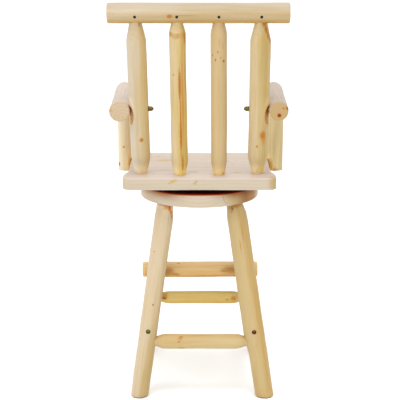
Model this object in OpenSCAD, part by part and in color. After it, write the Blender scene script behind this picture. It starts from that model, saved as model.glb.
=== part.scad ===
// A swivel bar stool of peeled pine logs, with a post back and two log arms. All sizes are in millimetres.
// The origin is on the floor under the swivel's axis. +Z is up, the back is towards -Y and the sitter faces +Y.
// Left is -X and right is +X, as the sitter has them.

/* [Seat] */
// Height of the seat's top face above the floor
seat_height = 722; // [660:1:800]
// Width of the seat across its two rear corners
seat_width = 482; // [468:1:510]
// Width of the seat where the arm supports stand against it
waist_width = 455; // [440:1:460]
// Depth of the seat from back to front
seat_depth = 392; // [370:1:410]
// Thickness of the seat board
seat_thick = 38; // [34:1:45]
// Length of each rear corner before the side draws in
ear_length = 45; // [35:1:60]
// Length over which the side draws in to the waist
blend_length = 75; // [50:1:100]
// Radius of the seat's rear corners
rear_corner_r = 25; // [10:1:32]
// Radius of the seat's front corners
front_corner_r = 40; // [10:1:60]

/* [Swivel] */
// Height of the whole swivel between the base disc and the seat
swivel_height = 15; // [12:0.5:20]
// Side of each square swivel plate
plate_size = 150; // [144:1:170]
// Thickness of each swivel plate
plate_thick = 1.6; // [1.2:0.1:2]
// Corner radius of the swivel plates
plate_corner_r = 10; // [4:1:14]
// Distance between the screw holes of a swivel plate
plate_hole_spacing = 124; // [118:1:128]
// Radius of the circle that the ball centres run on
race_r = 57; // [50:0.5:60]
// Diameter of the bearing balls
ball_d = 4; // [3.5:0.1:4.4]
// Number of bearing balls
ball_count = 24; // [12:1:30]
// Thickness of each race ring
race_wall = 5; // [4:0.5:6]
// Space between the inner and the outer race ring
race_gap = 1.4; // [1.2:0.1:1.6]
// Thickness of the cage ring that spaces the balls
cage_thick = 0.7; // [0.5:0.1:0.8]
// Height of the cage ring
cage_height = 5.2; // [5:0.1:5.4]
// Diameter of the bolts that come up through the base disc into the lower plate
plate_bolt_d = 6; // [5:0.5:8]
// Head diameter of the plate bolts
plate_bolt_head_d = 10; // [8:0.5:14]
// Head height of the plate bolts
plate_bolt_head_h = 5; // [3:0.5:6]
// Depth of the recess for each plate bolt's head
plate_bolt_recess = 8; // [6:0.5:14]
// Diameter of the screws that hold the upper plate to the seat
plate_screw_d = 4.2; // [3.5:0.1:5]
// Head diameter of the plate screws
plate_screw_head_d = 8.4; // [7:0.1:10]
// Head height of the plate screws
plate_screw_head_h = 2; // [1.5:0.1:2.4]
// Length of the plate screws under the head
plate_screw_len = 26; // [18:1:32]

/* [Base disc] */
// Diameter of the round base disc under the swivel
disc_d = 384; // [372:1:420]
// Thickness of the base disc
disc_thick = 43; // [38:1:50]
// Rounding of the disc's upper rim
disc_round = 6; // [2:1:12]
// Rounding of the disc's lower rim
disc_round_low = 3; // [1:1:8]

/* [Legs] */
// Distance of the left legs' tops from the middle of the stool, sideways
leg_left_top_x = 108; // [104:0.5:124]
// Distance of the right legs' tops from the middle of the stool, sideways
leg_right_top_x = 112.5; // [104:0.5:124]
// Distance of each leg's top from the middle of the stool, front to back
leg_top_y = 112.5; // [104:0.5:124]
// Distance of the left feet from the middle of the stool
foot_left_x = 195; // [180:1:220]
// Distance of the right feet from the middle of the stool
foot_right_x = 209; // [180:1:220]
// Distance of every foot from the middle of the stool, front to back
foot_y = 203; // [190:1:220]
// Diameter of the two left legs
leg_left_d = 58.5; // [57:0.5:66]
// Diameter of the two right legs
leg_right_d = 65; // [57:0.5:70]
// Diameter of each leg where it enters the disc
leg_neck_d = 50; // [42:1:56]
// Length over which a leg narrows to its neck
leg_neck_len = 32; // [20:1:60]
// Length of each leg inside the disc
leg_tenon_len = 28; // [20:1:30]
// Width of the bevel round each foot
foot_bevel = 3; // [1:0.5:6]
// Diameter of the screw down into each leg
leg_screw_d = 6; // [5:0.5:8]
// Head diameter of the leg screws
leg_screw_head_d = 12; // [10:0.5:16]
// Head height of the leg screws
leg_screw_head_h = 4; // [3:0.5:4.5]
// Length of the leg screws under the head
leg_screw_len = 80; // [50:5:120]
// Wood left between a leg's socket and its screw's head
leg_screw_floor = 6; // [4:0.5:7]

/* [Rungs] */
// Height of the rear rung's axis
rear_rung_z = 177; // [150:1:190]
// Diameter of the rear rung
rear_rung_d = 49; // [42:1:56]
// Height of the front rung's axis
front_rung_z = 209; // [190:1:209]
// Diameter of the front rung
front_rung_d = 45; // [40:1:56]
// Height of the side rungs' axes
side_rung_z = 218; // [218:1:250]
// Diameter of the side rungs
side_rung_d = 46; // [40:1:56]
// Diameter of the tenon at each rung's end
rung_tenon_d = 32; // [28:1:33]
// Length of the tenon at each rung's end inside the leg
rung_tenon_len = 12; // [8:1:12]
// Length of plain tenon left between a leg and the rung's taper
rung_neck = 4; // [3.5:0.5:10]
// Length of the taper at each rung's end
rung_taper = 42; // [25:1:60]

/* [Foot rail] */
// Height of the foot rail's axis
foot_rail_z = 301; // [290:1:380]
// Diameter of the foot rail
foot_rail_d = 54; // [46:1:60]
// Length of the foot rail
foot_rail_len = 404; // [390:1:460]
// Distance of the foot rail's middle to the right of the stool's middle
foot_rail_shift = 2; // [-6:1:6]
// Distance of the foot rail's axis in front of the front legs' axes
foot_rail_reach = 47; // [42:1:52]
// Diameter of the lag screws through the foot rail
lag_d = 8; // [6:0.5:10]
// Head diameter of the lag screws
lag_head_d = 13; // [11:0.5:15]
// Head height of the lag screws
lag_head_h = 5.5; // [4:0.5:8]
// Length of the lag screws under the head
lag_len = 78; // [50:1:80]
// Diameter of the recess for each lag screw's head
lag_recess_d = 16; // [15:0.5:20]
// Depth of the recess for each lag screw's head
lag_recess = 12; // [8:0.5:16]

/* [Rung bolts] */
// Diameter of the bolts that hold the rungs
bolt_d = 6; // [5:0.5:7]
// Head diameter of the rung bolts
bolt_head_d = 12.5; // [10:0.5:14]
// Head height of the rung bolts
bolt_head_h = 5; // [3:0.5:7]
// Diameter of the recess for each rung bolt's head
bolt_recess_d = 15; // [14.5:0.5:18]
// Depth of the recess for each rung bolt's head
bolt_recess = 10; // [7:0.5:14]
// Diameter of the barrel nuts
nut_d = 10; // [9:0.5:12]
// Length of the barrel nuts
nut_len = 16; // [12:1:20]
// Distance of each barrel nut from the end of its rung
nut_setback = 38; // [30:1:50]

/* [Back] */
// Height of the top rail's axis above the seat
back_rise = 512; // [460:2:560]
// Distance of the top rail's axis behind the middle of the stool
rail_back = 200; // [190:1:204]
// Diameter of the top rail
rail_d = 63; // [56:1:66]
// Length of the top rail
rail_len = 551; // [500:1:600]
// Distance of the top rail's middle to the left of the stool's middle
rail_shift = 3; // [-8:1:8]
// Rounding at the ends of the top rail, the arms and the foot rail
end_round = 5; // [2:1:10]
// Place of the outer posts on the seat, sideways
outer_base_x = 184; // [174:1:188]
// Place of the outer posts on the seat, behind the middle
outer_base_y = 113; // [105:1:125]
// Place of the outer left post under the rail, sideways
outer_left_top_x = 194; // [180:1:200]
// Place of the outer right post under the rail, sideways
outer_right_top_x = 186; // [180:1:200]
// Place of the inner posts on the seat, sideways
inner_base_x = 61.5; // [52:0.5:74]
// Place of the inner posts on the seat, behind the middle
inner_base_y = 134; // [125:1:145]
// Place of the inner left post under the rail, sideways
inner_left_top_x = 68; // [52:1:76]
// Place of the inner right post under the rail, sideways
inner_right_top_x = 58; // [50:1:76]
// Diameter of the outer left post
outer_left_d = 61.5; // [56:0.5:66]
// Diameter of the outer right post
outer_right_d = 64; // [56:0.5:66]
// Diameter of the inner left post
inner_left_d = 52; // [44:1:56]
// Diameter of the inner right post
inner_right_d = 51; // [44:1:56]
// Diameter of the tenon under the outer posts
outer_foot_d = 36; // [30:1:40]
// Step from the outer posts' tenon out to their taper
outer_step = 1.5; // [0.5:0.5:3]
// Length of tenon that shows under the outer posts
outer_ring = 8; // [6:0.5:12]
// Length of the taper at the foot of the outer posts
outer_foot_taper = 54; // [35:1:70]
// Diameter of the outer posts where they enter the rail
outer_head_d = 39; // [32:1:42]
// Length of the taper at the head of the outer posts
outer_head_taper = 52; // [30:1:80]
// Diameter of the tenon under the inner posts
inner_foot_d = 36; // [30:1:40]
// Length of tenon that shows under the inner posts
inner_ring = 4; // [3.5:0.5:10]
// Length of the taper at the foot of the inner posts
inner_foot_taper = 42; // [30:1:60]
// Diameter of the inner posts where they enter the rail
inner_head_d = 36; // [30:1:40]
// Length of the taper at the head of the inner posts
inner_head_taper = 34; // [20:1:60]
// Length of each post's tenon inside the seat
post_tenon_len = 27; // [20:1:27]
// How far each post's head passes the rail's axis
post_head_pass = 3; // [0:1:8]
// Diameter of the screws under the posts
post_screw_d = 5; // [4:0.5:6]
// Head diameter of the post screws
post_screw_head_d = 10; // [8:0.5:12]
// Head height of the post screws
post_screw_head_h = 3; // [2:0.5:3.5]
// Length of the post screws under the head
post_screw_len = 50; // [40:1:80]
// Wood left between a post's socket and its screw's head
post_screw_floor = 5; // [3:0.5:6]
// Distance of the rail screws below the rail's axis
rail_screw_drop = 9.5; // [6:0.5:14]
// Diameter of the rail screws
rail_screw_d = 4; // [3:0.5:5]
// Head diameter of the rail screws
rail_screw_head_d = 8.4; // [7:0.1:8.6]
// Head height of the rail screws
rail_screw_head_h = 3; // [2:0.5:3.5]
// Length of the rail screws under the head
rail_screw_len = 30; // [18:1:34]
// Diameter of the recess for each rail screw
rail_recess_d = 9.2; // [9:0.1:11]
// Depth of the recess for each rail screw
rail_recess = 4.5; // [4:0.5:6]

/* [Arms] */
// Height of the arms' axes above the seat
arm_rise = 212; // [190:1:250]
// Diameter of the arms
arm_d = 60; // [54:1:64]
// Length of the arms
arm_len = 397; // [370:1:420]
// Length of each arm behind the axis of its post
arm_tail = 48; // [40:1:60]
// How much farther out each arm is at its front end than at its back end
arm_splay = 7; // [0:0.5:10]
// Depth of the hollow that lets each post sit against its arm
arm_bite = 1.5; // [1:0.5:4]
// Depth of the round scoop on the rear outer side of each outer post
scoop_depth = 4.5; // [2:0.5:6]
// How far the middle of that scoop is below the arm's axis
scoop_drop = 18; // [0:1:30]
// Radius of that scoop
scoop_r = 140; // [100:5:200]
// Turn of the scoop from the post's outer side towards the back, in degrees
scoop_turn = 25; // [15:1:35]
// Distance of the arm supports in front of the middle of the stool
support_y = 115; // [80:1:125]
// Diameter of the left arm support
support_left_d = 46; // [42:1:54]
// Diameter of the right arm support
support_right_d = 53; // [44:0.5:54]
// Depth of the notch that lets each support sit against the seat
support_bite = 1; // [0.5:0.5:3]
// Radius with which that notch runs out above the seat
notch_runout_r = 60; // [40:5:90]
// Diameter of the tenon on top of each support
support_tenon_d = 30; // [24:1:34]
// How far each support's tenon passes the arm's axis
support_tenon_pass = 4; // [0:1:8]
// Length of the taper at the head of each support
support_taper = 36; // [20:1:60]

/* [Arm bolts] */
// Diameter of the carriage bolts through arm and post
arm_bolt_d = 8; // [6:0.5:9]
// Diameter of the carriage bolts' round heads
arm_bolt_head_d = 18; // [16:0.5:20]
// Height of the carriage bolts' round heads
arm_bolt_head_h = 4.5; // [3:0.5:6]
// Diameter of the recess for each carriage bolt's head
arm_recess_d = 21; // [20.5:0.5:24]
// Depth of the recess for each carriage bolt's head
arm_recess = 6; // [6:0.5:12]
// Diameter of the washers under the cap nuts
washer_d = 17; // [16:0.5:19]
// Thickness of the washers
washer_thick = 2; // [1.5:0.1:3]
// Depth of the flat that is cut for each washer
spot_depth = 2; // [1.8:0.1:3]
// Width of the cap nuts across their corners
cap_nut_d = 15; // [14:0.5:16]
// Length of the cap nuts' hexagon
cap_nut_hex = 9; // [8:0.5:12]
// Length of the cap nuts' round end
cap_nut_dome = 6; // [4:0.5:6.5]
// Diameter of the screws through the supports into the seat's edge
support_screw_d = 7; // [5:0.5:8]
// Head diameter of the support screws
support_screw_head_d = 13; // [11:0.5:15]
// Head height of the support screws
support_screw_head_h = 4; // [3:0.5:5]
// Depth of the recess for each support screw's head
support_recess = 4.5; // [4:0.5:8]
// Length of the support screws inside the seat
support_screw_bite = 38; // [20:1:45]

/* [Clearances] */
// Gap all round a tenon in its socket
socket_clear = 0.15; // [0.1:0.01:0.25]
// Gap all round a bolt or screw in a drilled hole
hole_clear = 0.3; // [0.2:0.05:0.5]
// Gap all round a screw's thread where it grips
thread_clear = 0.05; // [0.02:0.01:0.1]
// Gap at the end of a tenon or a screw
end_gap = 0.3; // [0.2:0.05:1]
// Gap between two logs that bear on each other
bearing_gap = 0.05; // [0.02:0.01:0.1]
// Gap all round a ball in its race
ball_clear = 0.05; // [0.02:0.01:0.1]
// Gap between a race ring and the other plate
plate_gap = 0.4; // [0.3:0.05:0.5]

/* [Hidden] */

$fn = 64;
arc_steps = 10;
taper_steps = 6;
rim_steps = 4;
over = 20;
tip_bevel = 1;
entry_gap = 1;
post_count = 4;

log_colour = "burlywood";
board_colour = "wheat";
brass_colour = "goldenrod";
steel_colour = "silver";
black_colour = "dimgray";

seat_bottom = seat_height - seat_thick;
disc_top = seat_bottom - swivel_height;
disc_bottom = disc_top - disc_thick;
ball_z = disc_top + swivel_height / 2;
rail_z = seat_height + back_rise;
arm_z = seat_height + arm_rise;
seat_middle = seat_height - seat_thick / 2;

// Legs: side is -1 for left and 1 for right, end is -1 for rear and 1 for front
function leg_r(side) = (side < 0 ? leg_left_d : leg_right_d) / 2;
function foot_x(side) = side < 0 ? -foot_left_x : foot_right_x;
function leg_top_x(side) = side < 0 ? -leg_left_top_x : leg_right_top_x;
function leg_at(side, end, z) = let (
    foot = [foot_x(side), end * foot_y, 0],
    head = [leg_top_x(side), end * leg_top_y, disc_bottom]
) foot + (head - foot) * z / disc_bottom;
function cross_rung_z(end) = end < 0 ? rear_rung_z : front_rung_z;
foot_rail_y = leg_at(1, 1, foot_rail_z).y + foot_rail_reach;

// Posts: 0 to 3 from left to right, and the first and the last are the outer ones
function is_outer(post) = post == 0 || post == post_count - 1;
function choose(post, outer, inner) = is_outer(post) ? outer : inner;
function post_side(post) = post < post_count / 2 ? -1 : 1;
function post_r(post) = [outer_left_d, inner_left_d, inner_right_d, outer_right_d][post] / 2;
function post_foot_r(post) = choose(post, outer_foot_d, inner_foot_d) / 2;
function post_head_r(post) = choose(post, outer_head_d, inner_head_d) / 2;
function post_base_x(post) = post_side(post) * choose(post, outer_base_x, inner_base_x);
function post_top_x(post) = [-outer_left_top_x, -inner_left_top_x, inner_right_top_x, outer_right_top_x][post];
function post_at(post, z) = let (
    foot = [post_base_x(post), -choose(post, outer_base_y, inner_base_y), seat_height],
    head = [post_top_x(post), -rail_back, rail_z]
) foot + (head - foot) * (z - seat_height) / back_rise;
function outer_post(side) = side < 0 ? 0 : post_count - 1;

// Arms: each one is set by the post that it is bolted to
function arm_post(side) = post_at(outer_post(side), arm_z);
function arm_post_r(side) = post_r(outer_post(side));
function arm_x(side) = abs(arm_post(side).x) + arm_post_r(side) + arm_d / 2 - arm_bite;
function arm_point(side, forward) = arm_post(side)
    + [side * (arm_x(side) - abs(arm_post(side).x) + arm_splay * forward / arm_len), forward, 0];
function spot_from_arm(side) = arm_x(side) - abs(arm_post(side).x) + arm_post_r(side) - spot_depth;
function unit(v) = v / norm(v);
function support_r(side) = (side < 0 ? support_left_d : support_right_d) / 2;
function support_x(side) = waist_width / 2 + bearing_gap + support_r(side) - support_bite;

// Outline points, as [radius, height] for turned pieces and [x, y] for the seat
function arc(centre, r, from, to) = [for (i = [0 : arc_steps])
    let (a = from + (to - from) * i / arc_steps) centre + r * [cos(a), sin(a)]];
function fullness(t) = (t + sin(90 * t)) / 2;
function swelling(small, full, start, length) = [for (i = [0 : taper_steps])
    [small + (full - small) * fullness(i / taper_steps), start + length * i / taper_steps]];
function shrinking(small, full, start, length) = [for (i = [0 : taper_steps])
    [small + (full - small) * fullness(1 - i / taper_steps), start + length * i / taper_steps]];
function rim_up(r, start, round) = [for (i = [0 : rim_steps])
    [r - round + round * sin(90 * i / rim_steps), start + round - round * cos(90 * i / rim_steps)]];
function rim_down(r, finish, round) = [for (i = [0 : rim_steps])
    [r - round + round * cos(90 * i / rim_steps), finish - round + round * sin(90 * i / rim_steps)]];

// The side draws in along two equal arcs, the first one convex and the second one hollow
function seat_side() = let (
    ear_x = seat_width / 2,
    waist_x = waist_width / 2,
    back = -seat_depth / 2,
    front = seat_depth / 2,
    step = ear_x - waist_x,
    r = (blend_length * blend_length + step * step) / (4 * step),
    turn = 2 * atan(step / blend_length),
    ear_end = back + ear_length
) concat(
    arc([ear_x - rear_corner_r, back + rear_corner_r], rear_corner_r, -90, 0),
    arc([ear_x - r, ear_end], r, 0, turn),
    arc([waist_x + r, ear_end + blend_length], r, 180 + turn, 180),
    arc([waist_x - front_corner_r, front - front_corner_r], front_corner_r, 0, 90)
);
function mirrored(points) = [for (i = [len(points) - 1 : -1 : 0]) [-points[i].x, points[i].y]];

// Puts its children at a with their Z axis towards b. On a level axis their X axis then points down
module along(a, b) {
    d = b - a;
    translate(a) rotate([0, acos(d.z / norm(d)), atan2(d.y, d.x)]) children();
}

// A piece turned about its Z axis, from outline points that start at its lower end
module turned(outline) {
    first = outline[0];
    last = outline[len(outline) - 1];
    rotate_extrude() polygon(concat([[0, first.y]], outline, [[0, last.y]]));
}

// A log from a to b with softly rounded ends
module plain_log(a, b, d) {
    length = norm(b - a);
    along(a, b) turned(concat(rim_up(d / 2, 0, end_round), rim_down(d / 2, length, end_round)));
}

// A piece turned about its Z axis in steps, from pairs of [diameter, height] where each step ends
module stepped(start, steps) {
    turned([for (i = [0 : len(steps) - 1], lower = [true, false])
        [steps[i][0] / 2, lower ? (i == 0 ? start : steps[i - 1][1]) : steps[i][1]]]);
}

// A screw or bolt along +Z with its head below the origin and a hexagon socket in the head
module socket_screw(d, head_d, head_h, length) {
    difference() {
        stepped(-head_h, [[head_d, 0], [d, length]]);
        translate([0, 0, -head_h - over]) cylinder(h = head_h / 2 + over, d = head_d / 2, $fn = 6);
    }
}

// A hole for such a screw: a recess for its head below the origin, and its shank's hole above
module screw_hole(d, recess_d, length) {
    stepped(-2 * over, [[recess_d, 0], [d + 2 * hole_clear, length + end_gap]]);
}

module each_leg() {
    for (side = [-1, 1], end = [-1, 1]) {
        foot = leg_at(side, end, disc_bottom);
        along(foot, leg_at(side, end, disc_top)) children();
    }
}

// The ends of the rungs, with the leg's axis at the origin and the rung along +Z
module cross_rung_end(side, end) {
    centre = leg_at(side, end, cross_rung_z(end));
    along(centre, centre - [side, 0, 0]) children();
}

module side_rung_end(side, end) {
    centre = leg_at(side, end, side_rung_z);
    along(centre, centre - [0, end, 0]) children();
}

module rung_seat(r) {
    stepped(-2 * r, [
        [bolt_recess_d, bolt_recess - r],
        [bolt_d + 2 * hole_clear, r - rung_tenon_len - end_gap],
        [rung_tenon_d + 2 * socket_clear, 2 * r]
    ]);
}

module rung_bolt(r) {
    head_seat = bolt_recess - r;
    nut_centre = r - rung_tenon_len + nut_setback;
    translate([0, 0, head_seat])
        socket_screw(bolt_d, bolt_head_d, bolt_head_h, nut_centre + nut_d - head_seat);
}

module barrel_nut(r) {
    translate([0, 0, r - rung_tenon_len + nut_setback]) difference() {
        rotate([0, 90, 0]) cylinder(h = nut_len, d = nut_d, center = true);
        cylinder(h = 2 * nut_d, d = bolt_d + 2 * thread_clear, center = true);
    }
}

// The bolt hole in a rung's end and the cross hole for its nut, open at the underside
module rung_bores(r) {
    nut_centre = r - rung_tenon_len + nut_setback;
    cylinder(h = nut_centre + nut_d + end_gap, d = bolt_d + 2 * hole_clear);
    translate([-nut_len / 2 - end_gap, 0, nut_centre]) rotate([0, 90, 0])
        cylinder(h = nut_len + 2 * over, d = nut_d + 2 * socket_clear);
}

// A rung from the leg axis at a to the leg axis at b
module rung(a, b, d, r_a, r_b) {
    span = norm(b - a);
    start = r_a - rung_tenon_len;
    finish = span - r_b + rung_tenon_len;
    tenon_r = rung_tenon_d / 2;
    swell_start = r_a + rung_neck;
    shrink_start = span - r_b - rung_neck - rung_taper;
    color(log_colour) along(a, b) difference() {
        turned(concat(
            [[tenon_r - tip_bevel, start], [tenon_r, start + tip_bevel]],
            swelling(tenon_r, d / 2, swell_start, rung_taper),
            shrinking(tenon_r, d / 2, shrink_start, rung_taper),
            [[tenon_r, finish - tip_bevel], [tenon_r - tip_bevel, finish]]
        ));
        rung_bores(r_a);
        translate([0, 0, span]) mirror([0, 0, 1]) rung_bores(r_b);
    }
}

// The lag screw's place at a front leg: the origin is under the screw's head and +Z runs into the leg
module lag_place(side) {
    seat = [leg_at(side, 1, foot_rail_z).x, foot_rail_y + foot_rail_d / 2 - lag_recess, foot_rail_z];
    along(seat, seat - [0, 1, 0]) children();
}

// A leg narrows to the neck that enters the disc, and its foot is cut level on the floor
module leg(side, end) {
    foot = leg_at(side, end, 0);
    head = leg_at(side, end, disc_bottom);
    length = norm(head - foot);
    r = leg_r(side);
    neck_r = leg_neck_d / 2;
    foot_r = r - foot_bevel;
    finish = length + leg_tenon_len;
    color(log_colour) difference() {
        intersection() {
            along(foot, head) turned(concat(
                [[r, -over]],
                shrinking(neck_r, r, length - rung_neck - leg_neck_len, leg_neck_len),
                [[neck_r, finish - tip_bevel], [neck_r - tip_bevel, finish]]
            ));
            translate(foot) cylinder(h = disc_top, r1 = foot_r, r2 = foot_r + disc_top);
        }
        cross_rung_end(side, end) rung_seat(r);
        side_rung_end(side, end) rung_seat(r);
        along(foot, head) translate([0, 0, length + leg_tenon_len + leg_screw_floor - leg_screw_len - end_gap])
            cylinder(h = leg_screw_len, d = leg_screw_d + 2 * thread_clear);
        if (end > 0) {
            translate([0, foot_rail_y, foot_rail_z]) rotate([0, 90, 0])
                cylinder(h = foot_rail_len, d = foot_rail_d + 2 * bearing_gap, center = true);
            lag_place(side) cylinder(h = lag_len + end_gap, d = lag_d + 2 * thread_clear);
        }
    }
}

module foot_rail() {
    half = [foot_rail_len / 2, 0, 0];
    centre = [foot_rail_shift, foot_rail_y, foot_rail_z];
    color(log_colour) difference() {
        plain_log(centre - half, centre + half, foot_rail_d);
        for (side = [-1, 1]) lag_place(side) screw_hole(lag_d, lag_recess_d, lag_len);
    }
}

module plate_corners() {
    half = plate_hole_spacing / 2;
    for (x = [-half, half], y = [-half, half]) translate([x, y, 0]) children();
}

module base_disc() {
    floor_z = leg_tenon_len + leg_screw_floor;
    color(board_colour) difference() {
        translate([0, 0, disc_bottom]) turned(concat(
            rim_up(disc_d / 2, 0, disc_round_low),
            rim_down(disc_d / 2, disc_thick, disc_round)
        ));
        each_leg() rotate([0, 0, 90]) stepped(-over, [
            [leg_neck_d + 2 * socket_clear, leg_tenon_len + end_gap],
            [leg_screw_d + 2 * hole_clear, floor_z],
            [leg_screw_head_d + 2 * hole_clear, floor_z + over]
        ]);
        plate_corners() translate([0, 0, disc_bottom + plate_bolt_recess])
            screw_hole(plate_bolt_d, plate_bolt_head_d + 2 * hole_clear, disc_thick);
    }
}

// The square sheet of a swivel plate, without its race ring
module plate_blank() {
    half = plate_size / 2 - plate_corner_r;
    linear_extrude(plate_thick) union() {
        square([plate_size, 2 * half], center = true);
        square([2 * half, plate_size], center = true);
        for (x = [-half, half], y = [-half, half]) translate([x, y]) circle(r = plate_corner_r);
    }
}

module ball_groove() {
    rotate_extrude() translate([race_r, 0]) circle(d = ball_d + 2 * ball_clear);
}

// The inner race ring stands on the lower plate
module swivel_lower_plate() {
    outer = race_r - race_gap / 2;
    ring_h = swivel_height - plate_thick - plate_gap;
    color(steel_colour) difference() {
        translate([0, 0, disc_top]) union() {
            plate_blank();
            cylinder(h = ring_h, r = outer);
        }
        translate([0, 0, disc_top - over]) cylinder(h = swivel_height + 2 * over, r = outer - race_wall);
        translate([0, 0, ball_z]) ball_groove();
        plate_corners() translate([0, 0, disc_top - over])
            cylinder(h = 2 * over, d = plate_bolt_d + 2 * thread_clear);
    }
}

// The outer race ring hangs from the upper plate round the inner one, so the balls lock the two together
module swivel_upper_plate() {
    inner = race_r + race_gap / 2;
    ring_bottom = disc_top + plate_thick + plate_gap;
    color(steel_colour) difference() {
        union() {
            translate([0, 0, seat_bottom - plate_thick]) plate_blank();
            translate([0, 0, ring_bottom]) cylinder(h = seat_bottom - ring_bottom, r = inner + race_wall);
        }
        translate([0, 0, ring_bottom - over])
            cylinder(h = seat_bottom - plate_thick - ring_bottom + over, r = inner);
        translate([0, 0, disc_top]) cylinder(h = swivel_height + over, r = race_r - race_gap - race_wall);
        translate([0, 0, ball_z]) ball_groove();
        plate_corners() translate([0, 0, seat_bottom - over])
            cylinder(h = 2 * over, d = plate_screw_d + 2 * hole_clear);
    }
}

module each_ball() {
    for (i = [0 : ball_count - 1]) rotate([0, 0, 360 * i / ball_count]) translate([race_r, 0, ball_z]) children();
}

// The cage is a thin ring with a square window for each ball
module bearing_cage() {
    color(steel_colour) difference() {
        translate([0, 0, ball_z - cage_height / 2]) cylinder(h = cage_height, r = race_r + cage_thick / 2);
        translate([0, 0, ball_z - cage_height]) cylinder(h = 2 * cage_height, r = race_r - cage_thick / 2);
        each_ball() cube(ball_d + 2 * ball_clear, center = true);
    }
}

module bearing_balls() {
    color(steel_colour) each_ball() sphere(d = ball_d);
}

// Plate bolts come up from under the disc and end level with the top of the lower plate
module swivel_bolts() {
    color(steel_colour) plate_corners() translate([0, 0, disc_bottom + plate_bolt_recess])
        socket_screw(plate_bolt_d, plate_bolt_head_d, plate_bolt_head_h,
            disc_thick - plate_bolt_recess + plate_thick);
}

module plate_screws() {
    color(steel_colour) plate_corners() translate([0, 0, seat_bottom - plate_thick])
        socket_screw(plate_screw_d, plate_screw_head_d, plate_screw_head_h, plate_screw_len);
}

module leg_screws() {
    color(steel_colour) each_leg() translate([0, 0, leg_tenon_len + leg_screw_floor]) mirror([0, 0, 1])
        socket_screw(leg_screw_d, leg_screw_head_d, leg_screw_head_h, leg_screw_len - 2 * end_gap);
}

module cross_rung_bolts() {
    color(brass_colour) for (side = [-1, 1], end = [-1, 1]) cross_rung_end(side, end) rung_bolt(leg_r(side));
}

module side_rung_bolts() {
    color(brass_colour) for (side = [-1, 1], end = [-1, 1]) side_rung_end(side, end) rung_bolt(leg_r(side));
}

module barrel_nuts() {
    color(brass_colour) for (side = [-1, 1], end = [-1, 1]) {
        cross_rung_end(side, end) barrel_nut(leg_r(side));
        side_rung_end(side, end) barrel_nut(leg_r(side));
    }
}

module foot_rail_screws() {
    color(brass_colour) for (side = [-1, 1]) lag_place(side) socket_screw(lag_d, lag_head_d, lag_head_h, lag_len);
}

module cross_rung(end, d) {
    z = cross_rung_z(end);
    rung(leg_at(-1, end, z), leg_at(1, end, z), d, leg_r(-1), leg_r(1));
}

module side_rung(side) {
    rung(leg_at(side, -1, side_rung_z), leg_at(side, 1, side_rung_z), side_rung_d, leg_r(side), leg_r(side));
}

// The places on a post's axis at the seat's top face and at the rail's axis, with +Z up the post
module post_from_seat(post) {
    along(post_at(post, seat_height), post_at(post, rail_z)) children();
}

module post_from_rail(post) {
    head = post_at(post, rail_z);
    along(head, head + head - post_at(post, seat_height)) children();
}

// The screw under a post: the origin is on the screw head's seat and +Z runs up the post
module post_screw_place(post) {
    post_from_seat(post) translate([0, 0, -post_tenon_len - post_screw_floor]) children();
}

module seat_board() {
    side = seat_side();
    color(board_colour) difference() {
        translate([0, 0, seat_bottom]) linear_extrude(seat_thick) polygon(concat(side, mirrored(side)));
        for (post = [0 : post_count - 1]) post_from_seat(post) rotate([0, 0, 90]) stepped(-2 * seat_thick, [
            [post_screw_head_d + 2 * hole_clear, -post_tenon_len - post_screw_floor],
            [post_screw_d + 2 * hole_clear, -post_tenon_len - end_gap],
            [2 * (post_foot_r(post) + socket_clear), over]
        ]);
        plate_corners() translate([0, 0, seat_bottom - over])
            cylinder(h = over + plate_screw_len - plate_thick + end_gap, d = plate_screw_d + 2 * thread_clear);
        for (side = [-1, 1]) support_screw_place(side)
            cylinder(h = support_screw_reach(side) + end_gap, d = support_screw_d + 2 * thread_clear);
    }
}

// The rail screw at a post: the origin is on the screw head's seat and +Z runs into the post
module rail_screw_place(post) {
    z = rail_z - rail_screw_drop;
    surface = sqrt(pow(rail_d / 2, 2) - pow(rail_screw_drop, 2));
    seat = [post_at(post, z).x, -rail_back - surface + rail_recess, z];
    along(seat, seat + [0, 1, 0]) children();
}

// The carriage bolt at an arm: the origin is on the arm's axis and +Z runs in through the post
module arm_bolt_place(side) {
    centre = arm_point(side, 0);
    along(centre, centre - [side, 0, 0]) children();
}

// What the arm and its bolt take out of an outer post
module arm_cuts(side) {
    r = arm_post_r(side);
    middle = post_at(outer_post(side), arm_z - scoop_drop);
    axis = unit(arm_post(side) - middle);
    level = [side * cos(scoop_turn), -sin(scoop_turn), 0];
    outward = unit(level - axis * (level * axis));
    across = cross(axis, outward);
    scoop_centre = middle + outward * (r - scoop_depth + scoop_r);
    along(scoop_centre - across * r, scoop_centre + across * r) cylinder(h = 2 * r, r = scoop_r, $fn = 128);
    along(arm_point(side, -arm_d), arm_point(side, arm_d)) cylinder(h = 2 * arm_d, d = arm_d + 2 * bearing_gap);
    arm_bolt_place(side) stepped(0, [
        [arm_bolt_d + 2 * hole_clear, spot_from_arm(side)],
        [washer_d + 4 * hole_clear, spot_from_arm(side) + over]
    ]);
}

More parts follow.
